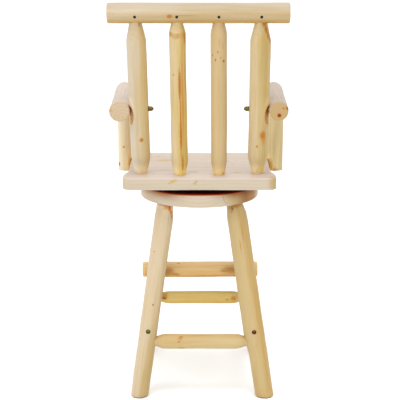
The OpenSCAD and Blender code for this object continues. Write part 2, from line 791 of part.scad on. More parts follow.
module post(post) {
    length = norm(post_at(post, rail_z) - post_at(post, seat_height));
    r = post_r(post);
    foot_r = post_foot_r(post);
    head_r = post_head_r(post);
    step = choose(post, outer_step, 0);
    ring = choose(post, outer_ring, inner_ring);
    foot_taper = choose(post, outer_foot_taper, inner_foot_taper);
    head_taper = choose(post, outer_head_taper, inner_head_taper);
    finish = length + post_head_pass;
    color(log_colour) difference() {
        post_from_seat(post) turned(concat(
            [[foot_r - tip_bevel, -post_tenon_len], [foot_r, tip_bevel - post_tenon_len], [foot_r, ring]],
            swelling(foot_r + step, r, ring, foot_taper),
            shrinking(head_r, r, length - rail_d / 2 - entry_gap - head_taper, head_taper),
            [[head_r, finish - tip_bevel], [head_r - tip_bevel, finish]]
        ));
        post_screw_place(post) cylinder(h = post_screw_len + end_gap, d = post_screw_d + 2 * thread_clear);
        rail_screw_place(post) cylinder(h = rail_screw_len + end_gap, d = rail_screw_d + 2 * thread_clear);
        if (is_outer(post)) arm_cuts(post_side(post));
    }
}

module top_rail() {
    half = [rail_len / 2, 0, 0];
    centre = [-rail_shift, -rail_back, rail_z];
    color(log_colour) difference() {
        plain_log(centre - half, centre + half, rail_d);
        for (post = [0 : post_count - 1]) {
            post_from_rail(post) translate([0, 0, -rail_d])
                cylinder(h = rail_d + post_head_pass + end_gap, r = post_head_r(post) + socket_clear);
            rail_screw_place(post) screw_hole(rail_screw_d, rail_recess_d, rail_screw_len);
        }
    }
}

module post_screws() {
    color(black_colour) for (post = [0 : post_count - 1]) post_screw_place(post)
        socket_screw(post_screw_d, post_screw_head_d, post_screw_head_h, post_screw_len);
}

module rail_screws() {
    color(black_colour) for (post = [0 : post_count - 1]) rail_screw_place(post)
        socket_screw(rail_screw_d, rail_screw_head_d, rail_screw_head_h, rail_screw_len);
}

module arm(side) {
    color(log_colour) difference() {
        plain_log(arm_point(side, -arm_tail), arm_point(side, arm_len - arm_tail), arm_d);
        arm_bolt_place(side) translate([0, 0, arm_recess - arm_d / 2])
            screw_hole(arm_bolt_d, arm_recess_d, arm_d);
        translate([side * support_x(side), support_y, arm_z - arm_d])
            cylinder(h = arm_d + support_tenon_pass + end_gap, d = support_tenon_d + 2 * socket_clear);
    }
}

// The support screw: the origin is under the screw's head and +Z runs through the support into the seat
module support_screw_place(side) {
    seat = [side * (support_x(side) + support_r(side) - support_recess), support_y, seat_middle];
    along(seat, seat - [side, 0, 0]) children();
}

function support_screw_reach(side) =
    support_x(side) + support_r(side) - support_recess - waist_width / 2 + support_screw_bite;

module arm_support(side) {
    r = support_r(side);
    tenon_r = support_tenon_d / 2;
    finish = arm_z + support_tenon_pass - seat_bottom;
    taper_start = arm_z - arm_d / 2 - entry_gap - support_taper - seat_bottom;
    notch_x = waist_width / 2 + bearing_gap;
    color(log_colour) difference() {
        translate([side * support_x(side), support_y, seat_bottom]) turned(concat(
            rim_up(r, 0, end_round / 2),
            shrinking(tenon_r, r, taper_start, support_taper),
            [[tenon_r, finish - tip_bevel], [tenon_r - tip_bevel, finish]]
        ));
        translate([side * (notch_x - over / 2), support_y, seat_middle - over / 2])
            cube([over, 2 * r, seat_thick + over], center = true);
        translate([side * (notch_x - notch_runout_r), support_y, seat_height]) rotate([90, 0, 0])
            cylinder(h = 2 * r, r = notch_runout_r, center = true, $fn = 128);
        support_screw_place(side)
            screw_hole(support_screw_d, support_screw_head_d + 2 * hole_clear, 2 * r);
    }
}

// The heads are low domes, cut from a ball whose size follows from the head's width and height
module dome(d, h) {
    ball_r = (d * d / 4 + h * h) / (2 * h);
    intersection() {
        translate([0, 0, ball_r - h]) sphere(r = ball_r);
        translate([0, 0, -h]) cylinder(h = h, d = d);
    }
}

module arm_bolts() {
    color(steel_colour) for (side = [-1, 1]) arm_bolt_place(side) translate([0, 0, arm_recess - arm_d / 2]) union() {
        dome(arm_bolt_head_d, arm_bolt_head_h);
        translate([0, 0, -1])
            cylinder(h = spot_from_arm(side) + arm_d / 2 - arm_recess + washer_thick + cap_nut_hex, d = arm_bolt_d);
    }
}

module arm_washers() {
    color(black_colour) for (side = [-1, 1]) arm_bolt_place(side) translate([0, 0, spot_from_arm(side)])
        difference() {
            cylinder(h = washer_thick, d = washer_d);
            translate([0, 0, -over]) cylinder(h = 2 * over, d = arm_bolt_d + 2 * hole_clear);
        }
}

module arm_cap_nuts() {
    color(brass_colour) for (side = [-1, 1])
        arm_bolt_place(side) translate([0, 0, spot_from_arm(side) + washer_thick]) difference() {
            union() {
                cylinder(h = cap_nut_hex, d = cap_nut_d, $fn = 6);
                translate([0, 0, cap_nut_hex]) mirror([0, 0, 1]) dome(cap_nut_d * cos(30), cap_nut_dome);
            }
            translate([0, 0, -over]) cylinder(h = over + cap_nut_hex, d = arm_bolt_d + 2 * thread_clear);
        }
}

module support_screws() {
    color(black_colour) for (side = [-1, 1]) support_screw_place(side) union() {
        dome(support_screw_head_d, support_screw_head_h);
        translate([0, 0, -1]) cylinder(h = 1 + support_screw_reach(side), d = support_screw_d);
    }
}

base_disc();
leg(-1, -1);  // leg_rear_left
leg(1, -1);  // leg_rear_right
leg(-1, 1);  // leg_front_left
leg(1, 1);  // leg_front_right
cross_rung(-1, rear_rung_d);  // rear_rung
cross_rung(1, front_rung_d);  // front_rung
side_rung(-1);  // side_rung_left
side_rung(1);  // side_rung_right
foot_rail();
cross_rung_bolts();
side_rung_bolts();
barrel_nuts();
foot_rail_screws();
leg_screws();
swivel_lower_plate();
swivel_bolts();
bearing_cage();
bearing_balls();
swivel_upper_plate();
plate_screws();
seat_board();
post(0);  // outer_post_left
post(1);  // inner_post_left
post(2);  // inner_post_right
post(3);  // outer_post_right
post_screws();
top_rail();
rail_screws();
arm(-1);  // arm_left
arm(1);  // arm_right
arm_support(-1);  // arm_support_left
arm_support(1);  // arm_support_right
arm_bolts();
arm_washers();
arm_cap_nuts();
support_screws();
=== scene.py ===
import math

import bpy
from mathutils import Matrix, Vector


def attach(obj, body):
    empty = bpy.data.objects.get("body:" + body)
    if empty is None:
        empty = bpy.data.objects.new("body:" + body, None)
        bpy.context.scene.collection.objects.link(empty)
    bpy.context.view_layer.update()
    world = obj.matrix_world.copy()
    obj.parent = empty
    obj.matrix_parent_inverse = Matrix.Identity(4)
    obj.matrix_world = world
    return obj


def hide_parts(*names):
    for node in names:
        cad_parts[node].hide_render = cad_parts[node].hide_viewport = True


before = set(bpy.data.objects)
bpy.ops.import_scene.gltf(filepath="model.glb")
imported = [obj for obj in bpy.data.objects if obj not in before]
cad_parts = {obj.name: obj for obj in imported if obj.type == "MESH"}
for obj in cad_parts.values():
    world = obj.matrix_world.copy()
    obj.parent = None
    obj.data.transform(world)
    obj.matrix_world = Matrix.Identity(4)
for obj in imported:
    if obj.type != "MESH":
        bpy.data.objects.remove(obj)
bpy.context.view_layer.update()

# Sizes of the stool in millimetres, as its joinery has them

MM = 0.001
SEAT_TOP = 722
SEAT_THICK = 38
SEAT_BOTTOM = SEAT_TOP - SEAT_THICK
SEAT_WIDTH = 482
WAIST_WIDTH = 455
SEAT_DEPTH = 392
EAR_LENGTH = 45
BLEND_LENGTH = 75
REAR_CORNER = 25
FRONT_CORNER = 40
DISC_TOP = 669
DISC_BOTTOM = 626
DISC_WIDTH = 384
LEG_WIDTH = {-1: 58.5, 1: 65}
LEG_FOOT_X = {-1: -195, 1: 209}
LEG_FOOT_Y = 203
LEG_HEAD_X = {-1: -108, 1: 112.5}
LEG_HEAD_Y = 112.5
NECK_WIDTH = 50
NECK_LENGTH = 28
NECK_SHOWN = 8
LEG_TAPER = 44
RUNG_TENON = 32
RUNG_BITE = 12
RUNG_TAPER = 34
CROSS_RUNG_Z = {"rear": 177, "front": 209}
CROSS_RUNG_WIDTH = {"rear": 49, "front": 45}
SIDE_RUNG_Z = 218
SIDE_RUNG_WIDTH = 46
POST_WIDTH = (61.5, 52, 51, 64)
POST_TENON = 36
POST_TENON_LENGTH = 27
POST_HEAD_TENON = (39, 36, 36, 39)
POST_HEAD_REACH = 3
POST_FEET = ((-184, -113), (-61.5, -134), (61.5, -134), (184, -113))
POST_HEADS_X = (-194, -68, 58, 186)
RAIL_LEFT = -278.5
RAIL_RIGHT = 272.5
RAIL_Z = 1234
RAIL_Y = -200
RAIL_WIDTH = 63
RAIL_SCREW_DROP = 9.5
RAIL_SCREW_DEPTH = 4.5
ARM_Z = 934
ARM_WIDTH = 60
ARM_LENGTH = 397
ARM_TAIL = 48
ARM_SPLAY = 7
ARM_BITE = 1.5
SUPPORT_Y = 115
SUPPORT_WIDTH = {-1: 46, 1: 53}
SUPPORT_TENON = 30
SUPPORT_REACH = 4
SUPPORT_TAPER = 36
FOOT_RAIL_LEFT = -200
FOOT_RAIL_RIGHT = 204
FOOT_RAIL_Y = 206.5
FOOT_RAIL_Z = 301
FOOT_RAIL_WIDTH = 54
FOOT_SCREW_DEPTH = 12
END_ROUND = 5
SOCKET_PLAY = 0.3
BEARING_GAP = 0.05
BOLT_HOLE = 6.6
HEAD_BORE = 15
HEAD_BORE_DEPTH = 10
ARM_BOLT_HOLE = 8.6
ARM_HEAD_BORE = 21
ARM_HEAD_DEPTH = 6
WASHER_BORE = 18.2
WASHER_DEPTH = 2
NUT_HOLE = 10.3
NUT_DEPTH = 26
BOLT_PAST_NUT = 10.3
PLATE_BOLT_AT = 62
SEAT_PITH_DROP = 190
DISC_PITH_DROP = 150

LOG_SIDES = 64
RING_STEP = 9
NEAR = 0.00001

SIDES = {"left": -1, "right": 1}
ENDS = {"rear": -1, "front": 1}


def point(x, y, z):
    return Vector((x, y, z))


def leg_point(side, end, z):
    foot = point(LEG_FOOT_X[side], end * LEG_FOOT_Y, 0)
    head = point(LEG_HEAD_X[side], end * LEG_HEAD_Y, DISC_BOTTOM)
    return foot + (head - foot) * z / DISC_BOTTOM


def post_point(post, z):
    foot = point(*POST_FEET[post], SEAT_TOP)
    head = point(POST_HEADS_X[post], RAIL_Y, RAIL_Z)
    return foot + (head - foot) * (z - SEAT_TOP) / (RAIL_Z - SEAT_TOP)


def outer_post(side):
    return 0 if side < 0 else 3


def arm_gap(side):
    """Distance from an outer post's axis to the axis of its arm."""
    return POST_WIDTH[outer_post(side)] / 2 + ARM_WIDTH / 2 - ARM_BITE


def arm_point(side, forward):
    outward = arm_gap(side) + ARM_SPLAY * forward / ARM_LENGTH
    return post_point(outer_post(side), ARM_Z) + point(side * outward, forward, 0)


def support_x(side):
    return side * (WAIST_WIDTH / 2 + BEARING_GAP + SUPPORT_WIDTH[side] / 2 - 1)


# Handling one piece at a time

def deselect():
    bpy.ops.object.select_all(action="DESELECT")


def set_mode(mode):
    bpy.ops.object.mode_set(mode=mode)


def pick(piece):
    deselect()
    piece.select_set(True)
    bpy.context.view_layer.objects.active = piece


def select_only(piece, mode):
    """Clears what is selected in the piece's mesh and sets what the next edit works on."""
    pick(piece)
    set_mode("EDIT")
    bpy.ops.mesh.select_mode(type=mode)
    bpy.ops.mesh.select_all(action="DESELECT")
    set_mode("OBJECT")


def pick_vertices(piece, wanted):
    select_only(piece, "VERT")
    for vertex in piece.data.vertices:
        vertex.select = wanted(vertex.co)


def pick_edges(piece, wanted):
    select_only(piece, "EDGE")
    places = piece.data.vertices
    for edge in piece.data.edges:
        edge.select = wanted(*(places[index].co for index in edge.vertices))


def settle(piece):
    """Puts a piece's place, turn and scale into its mesh."""
    pick(piece)
    bpy.ops.object.transform_apply(location=True, rotation=True, scale=True)


def apply_modifier(piece, modifier):
    pick(piece)
    bpy.ops.object.modifier_apply(modifier=modifier.name)


def axis_frame(start, finish):
    """A log's own frame, with Z along it and X to the stool's right, or up on a cross log."""
    along = (finish - start).normalized()
    aside = Vector((0, 0, 1)) if abs(along.x) > 0.7 else Vector((1, 0, 0))
    across = (aside - along * aside.dot(along)).normalized()
    turn = Matrix((across, along.cross(across), along)).transposed()
    return Matrix.Translation(start * MM) @ turn.to_4x4()


def put_along(piece, start, finish):
    piece.matrix_world = axis_frame(start, finish)
    settle(piece)


def add_box(middle, size):
    deselect()
    bpy.ops.mesh.primitive_cube_add(size=1, location=middle * MM, scale=size * MM)
    box = bpy.context.object
    settle(box)
    return box


def cylinder_between(start, finish, width, sides=48):
    length = (finish - start).length * MM
    deselect()
    bpy.ops.mesh.primitive_cylinder_add(
        vertices=sides, radius=width / 2 * MM, depth=length, location=(0, 0, length / 2))
    cylinder = bpy.context.object
    settle(cylinder)
    put_along(cylinder, start, finish)
    return cylinder


def carve(piece, cutter, keep_cutter=False):
    """Takes the cutter's space out of the piece."""
    cut = piece.modifiers.new("cut", "BOOLEAN")
    cut.operation = "DIFFERENCE"
    cut.solver = "EXACT"
    cut.object = cutter
    apply_modifier(piece, cut)
    if not keep_cutter:
        bpy.data.objects.remove(cutter)


def drill(piece, holes):
    """Each hole is its start, its end and its width."""
    for start, finish, width in holes:
        carve(piece, cylinder_between(start, finish, width))


def stepped_holes(start, towards, steps):
    """Holes on one axis. Each step is a width and its two heights from the start."""
    along = (towards - start).normalized()
    return [(start + along * low, start + along * high, width) for width, low, high in steps]


# Logs drawn out ring by ring

def taper(small, full, start, length, straight):
    """Rings that widen from small to full. A straight one is like a pencil's point with a soft shoulder."""
    rings = []
    for step in range(9):
        t = step / 8
        part = straight * t + (1 - straight) * math.sin(math.pi / 2 * t)
        rings.append((start + length * t, small + (full - small) * part))
    return rings


def falling(rings):
    """The same taper the other way up, over the same heights."""
    low, high = rings[0][0], rings[-1][0]
    return [(low + high - height, radius) for height, radius in reversed(rings)]


def rounded_ends(length, radius):
    rim = []
    for step in range(6):
        angle = math.pi / 2 * step / 5
        rim.append((END_ROUND * (1 - math.cos(angle)), radius - END_ROUND * (1 - math.sin(angle))))
    return rim + [(length - height, ring) for height, ring in reversed(rim)]


def middle_at(bow, height):
    """Where a bowed log's middle lies at a height, from steps of a height and its two distances aside."""
    for (low, *start), (high, *finish) in zip(bow, bow[1:]):
        if low <= height <= high:
            part = (height - low) / (high - low)
            aside, across = (a + (b - a) * part for a, b in zip(start, finish))
            return point(aside, across, height)
    return point(0, 0, height)


def draw_log(node, outline, bow):
    """A round piece along Z from rings of a height and a radius, with rings added on its long spans."""
    height, radius = outline[0]
    middle, ring = middle_at(bow, height), radius
    deselect()
    bpy.ops.mesh.primitive_circle_add(
        vertices=LOG_SIDES, radius=radius * MM, fill_type="NGON", location=middle * MM)
    piece = bpy.context.object
    piece.name = "pine_" + node
    set_mode("EDIT")
    for next_height, next_radius in outline[1:]:
        # What lies below the start is sawn off or hidden, and needs no rings
        steps = 1 if height < 0 else max(1, round(abs(next_height - height) / RING_STEP))
        for step in range(1, steps + 1):
            part = step / steps
            next_middle = middle_at(bow, height + (next_height - height) * part)
            next_ring = radius + (next_radius - radius) * part
            grow = next_ring / ring
            bpy.ops.mesh.extrude_region_move(TRANSFORM_OT_translate={"value": (next_middle - middle) * MM})
            bpy.ops.transform.resize(value=(grow, grow, 1), center_override=next_middle * MM)
            middle, ring = next_middle, next_ring
        height, radius = next_height, next_radius
    face_outwards()
    settle(piece)
    return piece


def face_outwards():
    """Turns the faces of the edited mesh outwards and ends the edit."""
    bpy.ops.mesh.select_all(action="SELECT")
    bpy.ops.mesh.normals_make_consistent(inside=False)
    set_mode("OBJECT")


def roughen(piece, seed, plain_radius, full_radius, depth=2.4):
    """Gives a log the uneven skin of hand peeling, and leaves what is thinner than plain_radius as turned."""
    group = piece.vertex_groups.new(name="peeled")
    for vertex in piece.data.vertices:
        radius = math.hypot(vertex.co.x, vertex.co.y) / MM
        weight = (radius - plain_radius) / (full_radius - plain_radius)
        if weight > 0:
            group.add([vertex.index], min(1, weight), "REPLACE")
    guide = bpy.data.objects.new("guide", None)
    bpy.context.scene.collection.objects.link(guide)
    guide.location = (seed * 0.37, seed * 0.21, seed * 0.53)
    guide.scale = (1, 1, 3.5)
    bpy.context.view_layer.update()
    lumps = bpy.data.textures.new("peeling", "CLOUDS")
    lumps.noise_scale = 0.03
    lumps.noise_depth = 2
    skin = piece.modifiers.new("peeled", "DISPLACE")
    skin.texture = lumps
    skin.texture_coords = "OBJECT"
    skin.texture_coords_object = guide
    skin.vertex_group = group.name
    skin.mid_level = 0.66
    skin.strength = depth * MM
    apply_modifier(piece, skin)
    bpy.data.objects.remove(guide)


def make_log(node, start, finish, outline, seed, skin, bow=()):
    """A log from start to finish. skin has the radii, and often the depth, that roughen takes."""
    log = draw_log(node, outline, bow)
    roughen(log, seed, *skin)
    put_along(log, start, finish)
    return log


def dress(piece, material):
    piece.data.materials.clear()
    piece.data.materials.append(material)


def hand_over(piece, node, body, material):
    dress(piece, material)
    pick(piece)
    bpy.ops.object.shade_smooth_by_angle(angle=math.radians(32))
    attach(piece, body)
    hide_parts(node)


# Wiring of the finishes

def screen(red, green, blue):
    """A colour given as on a screen, for a socket."""
    return tuple((part / 255) ** 2.2 for part in (red, green, blue)) + (1,)


class Wires:
    """The nodes of one finish, added and joined up."""

    def __init__(self, name):
        self.material = bpy.data.materials.new(name)
        self.material.use_nodes = True
        self.tree = self.material.node_tree
        self.tree.nodes.clear()

    def node(self, kind, sockets, **settings):
        made = self.tree.nodes.new("ShaderNode" + kind)
        for name, value in settings.items():
            setattr(made, name, value)
        for key, value in sockets.items():
            if isinstance(value, bpy.types.NodeSocket):
                self.tree.links.new(value, made.inputs[key])
            else:
                made.inputs[key].default_value = value
        return made

    def coordinates(self, kind):
        return self.node("TexCoord", {}).outputs[kind]

    def math(self, operation, a, b=0.0):
        return self.node("Math", {0: a, 1: b}, operation=operation).outputs[0]

    def vector(self, operation, a, b):
        return self.node("VectorMath", {0: a, 1: b}, operation=operation).outputs[0]

    def plus(self, a, b):
        return self.math("ADD", a, b)

    def minus(self, a, b):
        return self.math("SUBTRACT", a, b)

    def times(self, a, b):
        return self.math("MULTIPLY", a, b)

    def scaled(self, a, by):
        return self.vector("MULTIPLY", a, by)

    def dot(self, a, b):
        return self.node("VectorMath", {0: a, 1: b}, operation="DOT_PRODUCT").outputs["Value"]

    def length(self, a):
        return self.node("VectorMath", {0: a}, operation="LENGTH").outputs["Value"]

    def noise(self, where, scale, detail):
        return self.node("TexNoise", {"Vector": where, "Scale": scale, "Detail": detail}).outputs[0]

    def fade(self, value, start, finish, low=0.0, high=1.0):
        """Goes smoothly from low to high while the value goes from start to finish."""
        if start > finish:
            start, finish, low, high = finish, start, high, low
        sockets = {0: value, 1: start, 2: finish, 3: low, 4: high}
        return self.node("MapRange", sockets, interpolation_type="SMOOTHSTEP").outputs[0]

    def bump(self, height, strength, depth):
        sockets = {"Height": height, "Strength": strength, "Distance": depth}
        return self.node("Bump", sockets).outputs[0]

    def mix(self, factor, a, b, blend="MIX"):
        made = self.node("Mix", {0: factor, 6: a, 7: b}, data_type="RGBA", blend_type=blend)
        return made.outputs[2]

    def over(self, base, amount, strength, colour):
        """Lays a colour over the base, by the amount of the pattern and a strength."""
        return self.mix(self.times(amount, strength), base, screen(*colour))

    def tint(self, base, amount, colour):
        """Multiplies the base by a colour, by the amount of the pattern."""
        return self.mix(amount, base, screen(*colour), "MULTIPLY")

    def finish(self, **sockets):
        named = {name.replace("_", " "): value for name, value in sockets.items()}
        shader = self.node("BsdfPrincipled", named)
        self.node("OutputMaterial", {0: shader.outputs[0]})
        return self.material


TAN = (222, 194, 142)
GOLD = (214, 172, 96)
AMBER = (202, 138, 48)
BARK = (150, 88, 34)
KNOT = (146, 72, 16)
HEART = (156, 42, 0)
RUST = (190, 112, 18)
VARNISH = (215, 213, 206)


# The grain's patterns: how far each is drawn out along the log, its scale and its detail
GRAINS = ((0.22, 34, 2), (0.1, 26, 3), (0.035, 150, 2), (0.02, 900, 1), (1, 320, 2))

# The kinds of marks: how much the edge frays, then the layers from the outside in. Each layer has the
# distances at which it begins and is full, its strength and its colour
MARK_LOOKS = {
    "stain": (1, ((1.15, 0.2, 0.75, AMBER),)),
    "streak": (1, ((1.1, 0.5, 0.92, RUST),)),
    "resin": (1, ((1.05, 0.5, 0.75, GOLD),)),
    "eye": (0.5, ((1.3, 0.6, 0.85, AMBER), (0.8, 0.3, 0.65, RUST))),
    "scar": (0.6, ((1.2, 0.3, 0.8, BARK),)),
    "knot": (0.5, ((1.25, 0.7, 0.7, AMBER), (0.75, 0.45, 0.9, KNOT))),
    "heart": (0.3, ((1.3, 0.8, 0.5, AMBER), (0.85, 0.55, 0.95, HEART))),
}


def at(x, y, z):
    """A place in a board's own frame, with X up from the pith, Y towards the back and Z along the board."""
    return (x * MM, y * MM, z * MM)


def spot(along, around, radius):
    """A place on a log, from its height, its angle and its distance from the middle."""
    angle = math.radians(around)
    return (radius * math.cos(angle) * MM, radius * math.sin(angle) * MM, along * MM)


def pine(node, start, finish, radius, seed, marks, pale, deep, warmth, pith=(3, 2),
         board=False, ring=3.4, band=None, tanned=(1, 0, 0), end_rings=0.25, soaked=TAN,
         crease_shade=(240, 170, 66), crease_reach=(0.6, 0.2, 0, 0.7), painted_light=(1.62, 1.7, 1.68), hollow=None, facing_shade=None):
    """Varnished pine with its grain along the log from start to finish. Each mark has its kind, its place,
    and how far it reaches across and along the grain.

    The shaded side's direction points to the side painted deep, as painted shade, while the other side is
    painted pale, as painted light. Its third number does the same from the start to the finish. The tints by
    facing paint light and shade on what looks up, sideways and down. hollow is the stretch of a scooped side
    and its colour: the cut wood, with painted shade in the hollow."""
    wires = Wires("pine_" + node)
    own = axis_frame(start, finish)
    turn = own.to_euler("XYZ")
    sockets = {"Vector": wires.coordinates("Object"), "Location": own.translation, "Rotation": turn}
    place = wires.node("Mapping", sockets, vector_type="TEXTURE").outputs[0]
    drift = wires.vector("ADD", place, (seed * 0.173, seed * 0.311, seed * 0.419))
    wander, tone, streak, fibre, ragged = (
        wires.noise(wires.scaled(drift, (1, 1, drawn_out)), scale, detail)
        for drawn_out, scale, detail in GRAINS)
    along = wires.node("SeparateXYZ", {0: place}).outputs[2]

    # Growth rings, seen where the skin is cut through at the tapers and the ends
    flat = wires.scaled(place, (1, 1, 0))
    from_pith = wires.length(wires.vector("SUBTRACT", flat, (pith[0] * MM, pith[1] * MM, 0)))
    bent = wires.plus(from_pith, wires.times(wander, 0.009))
    year = wires.math("FRACT", wires.math("DIVIDE", bent, ring * MM))
    late = wires.fade(year, 0.35, 0.95)
    out = wires.length(flat)
    cut = 0.28 if board else wires.fade(out, (radius - 1.2) * MM, (radius - 4.5) * MM, 0.1, end_rings)
    rings = wires.times(late, cut)

    # Painted light and shade: pale on the side turned to the light, deep on the shaded side, mixed with the
    # wood's random tone
    spread, length = 2.6 * radius * MM, (finish - start).length * MM
    toward_shade = wires.dot(place, (tanned[0] / spread, tanned[1] / spread, tanned[2] / length))
    grainy_tone = wires.times(wires.minus(streak, 0.5), 0 if board else 0.3)
    side = wires.plus(toward_shade, wires.plus(tone, grainy_tone))
    base = wires.mix(wires.fade(side, 0.24, 0.84), screen(*pale), screen(*deep))
    base = wires.over(base, wires.fade(streak, 0.5, 0.72), warmth, GOLD)
    base = wires.over(base, rings, 0.4, AMBER)
    normal = wires.coordinates("Normal")
    facing = wires.dot(normal, own.to_3x3() @ Vector((0, 0, 1)))
    end_grain = wires.fade(wires.math("ABSOLUTE", facing), 0.5, 0.95, 0, 0.85)
    soaked_through = wires.over(screen(*soaked), late, 0.2, AMBER)
    base = wires.mix(end_grain, base, soaked_through)
    corner = wires.node("AmbientOcclusion", {"Distance": 0.045}, samples=8).outputs["AO"]
    # Painted light and shade by facing: tints for what looks up, sideways and down. On boards the underside
    # is darkened only where it lies in shade
    if facing_shade:
        up, aside, down = facing_shade
        level = wires.node("SeparateXYZ", {0: normal}).outputs[2]
        sideways = wires.fade(wires.math("ABSOLUTE", level), 0.6, 0.2)
        downward = wires.fade(level, -0.4, -0.95)
        if board:
            downward = wires.times(wires.fade(level, 0.02, -0.4), wires.fade(corner, 1, 0.86))
        base = wires.tint(base, wires.fade(level, 0.15, 0.7), up)
        base = wires.tint(base, sideways, aside)
        base = wires.tint(base, downward, down)
    scooped = 0.0
    # Painted shade in the scooped hollow, over the colour of the cut wood
    if hollow:
        low, high, hollow_wood_and_shade = hollow
        scooped = wires.fade(out, (radius - 1.5) * MM, (radius - 2.3) * MM)
        scooped = wires.times(scooped, wires.fade(along, (low - 2) * MM, low * MM))
        scooped = wires.times(scooped, wires.fade(along, (high + 2) * MM, high * MM))
        base = wires.over(base, scooped, 0.9, hollow_wood_and_shade)
    base = wires.tint(base, wires.times(fibre, 0.2), (214, 190, 150))

    # Pin knots, strewn thinly
    stretched = wires.scaled(drift, (1, 1, 0.5))
    cells = wires.node("TexVoronoi", {"Vector": stretched, "Scale": 17.0})
    chance = wires.node("SeparateColor", {0: cells.outputs["Color"]}).outputs[0]
    chosen = wires.fade(chance, 0.72, 0.74)
    pin = wires.plus(cells.outputs["Distance"], wires.times(ragged, 0.05))
    pins = wires.times(wires.fade(pin, 0.075, 0.045), chosen)
    base = wires.over(base, pins, 0.75, BARK)

    # The marks that this piece has at known places
    nearest = {}
    for kind, centre, across, long in marks:
        away = wires.vector("SUBTRACT", place, centre)
        distance = wires.length(wires.vector("DIVIDE", away, (across * MM, across * MM, long * MM)))
        nearest[kind] = wires.math("MINIMUM", nearest[kind], distance) if kind in nearest else distance
    frayed = wires.times(wires.minus(ragged, 0.5), 0.9)
    if "shade" in nearest:
        dark = wires.fade(wires.plus(nearest["shade"], wires.times(frayed, 0.4)), 1.15, 0.3)
        base = wires.tint(base, dark, (204, 160, 84))
    if "tan" in nearest:
        base = wires.tint(base, wires.fade(nearest["tan"], 1.15, 0.4), (236, 222, 178))
    for kind, (frays, layers) in MARK_LOOKS.items():
        if kind not in nearest:
            continue
        loose = wires.plus(nearest[kind], wires.times(frayed, frays))
        for start_at, full_at, strength, colour in layers:
            base = wires.over(base, wires.fade(loose, start_at, full_at), strength, colour)
    if band:
        low, high = band
        wave = wires.times(wires.plus(wires.times(wander, 2), streak), 0.009)
        uneven = wires.plus(along, wires.plus(wave, -0.0135))
        below = wires.fade(uneven, (low - 9) * MM, low * MM)
        dark_band = wires.times(below, wires.fade(uneven, (high + 3) * MM, high * MM))
        base = wires.over(base, dark_band, wires.fade(streak, 0.35, 0.6, 0.75, 0.35), (200, 136, 42))

    # Painted light and shade, by how open each place is to the light, then the varnish's own tint
    # Painted light: near these marks the colour is lifted where the wood lies in shade, and no crease shade
    # is painted there
    if "painted_light" in nearest:
        painted_light_mask = wires.fade(nearest["painted_light"], 1.2, 0.75)
        painted_light_mask = wires.times(painted_light_mask, wires.minus(1.0, scooped))
        lifted = wires.times(painted_light_mask, wires.fade(corner, 1, 0.4))
        base = wires.mix(lifted, base, (*painted_light, 1), "MULTIPLY")
        corner = wires.math("MAXIMUM", corner, wires.times(painted_light_mask, 0.9))
    # Painted shade: golden where less light reaches, and dark red-brown deep in the creases
    base = wires.tint(base, wires.fade(corner, *crease_reach), crease_shade)
    base = wires.tint(base, wires.fade(corner, 0.36, 0.08, 0, 1), (176, 58, 8))
    base = wires.tint(base, 1.0, VARNISH)

    # The varnish follows the fibres and dips at knots
    grainy = wires.plus(wires.times(fibre, 0.35), wires.times(streak, 0.65))
    height = wires.minus(grainy, wires.times(rings, 0.3))
    bump = wires.bump(height, 0.35, 0.0006)
    gloss = wires.fade(streak, 0.3, 0.7, 0.4, 0.52)
    return wires.finish(Base_Color=base, Roughness=gloss, Normal=bump, Specular_IOR_Level=0.25)


# Legs, with their bores for the rungs and the saddle for the foot rail

def rung_bores(side, centre, inward):
    radius = LEG_WIDTH[side] / 2
    return stepped_holes(centre, centre + inward, [
        (HEAD_BORE, -2 * radius, HEAD_BORE_DEPTH - radius),
        (BOLT_HOLE, HEAD_BORE_DEPTH - 1 - radius, radius - RUNG_BITE + 1),
        (RUNG_TENON + SOCKET_PLAY, radius - RUNG_BITE - SOCKET_PLAY, 2 * radius),
    ])


# The rear legs as they grew: rings up to the shoulder, the shoulder's radius, and their bow to the right
LEG_SHAPES = {
    (-1, -1): (
        [(-12, 28.2), (14, 28.5), (90, 29.3), (300, 29.6), (430, 30.2)],
        30.8,
        [(-12, 0.8, 0), (90, 0.2, 0), (200, 0.2, 0), (400, 0.8, 0), (570, 1.3, 0), (622, 0, 0)],
    ),
    (1, -1): (
        [(-12, 29.6), (14, 29.6), (145, 30.2), (165, 31.6), (205, 34.4), (300, 34.4), (420, 33.6), (520, 33)],
        33,
        [(-12, 1.9, 0), (145, 2.1, 0), (165, 1.1, 0), (205, -0.9, 0), (300, -0.9, 0), (420, 0.2, 0),
         (560, 1.2, 0), (615, 0, 0)],
    ),
}


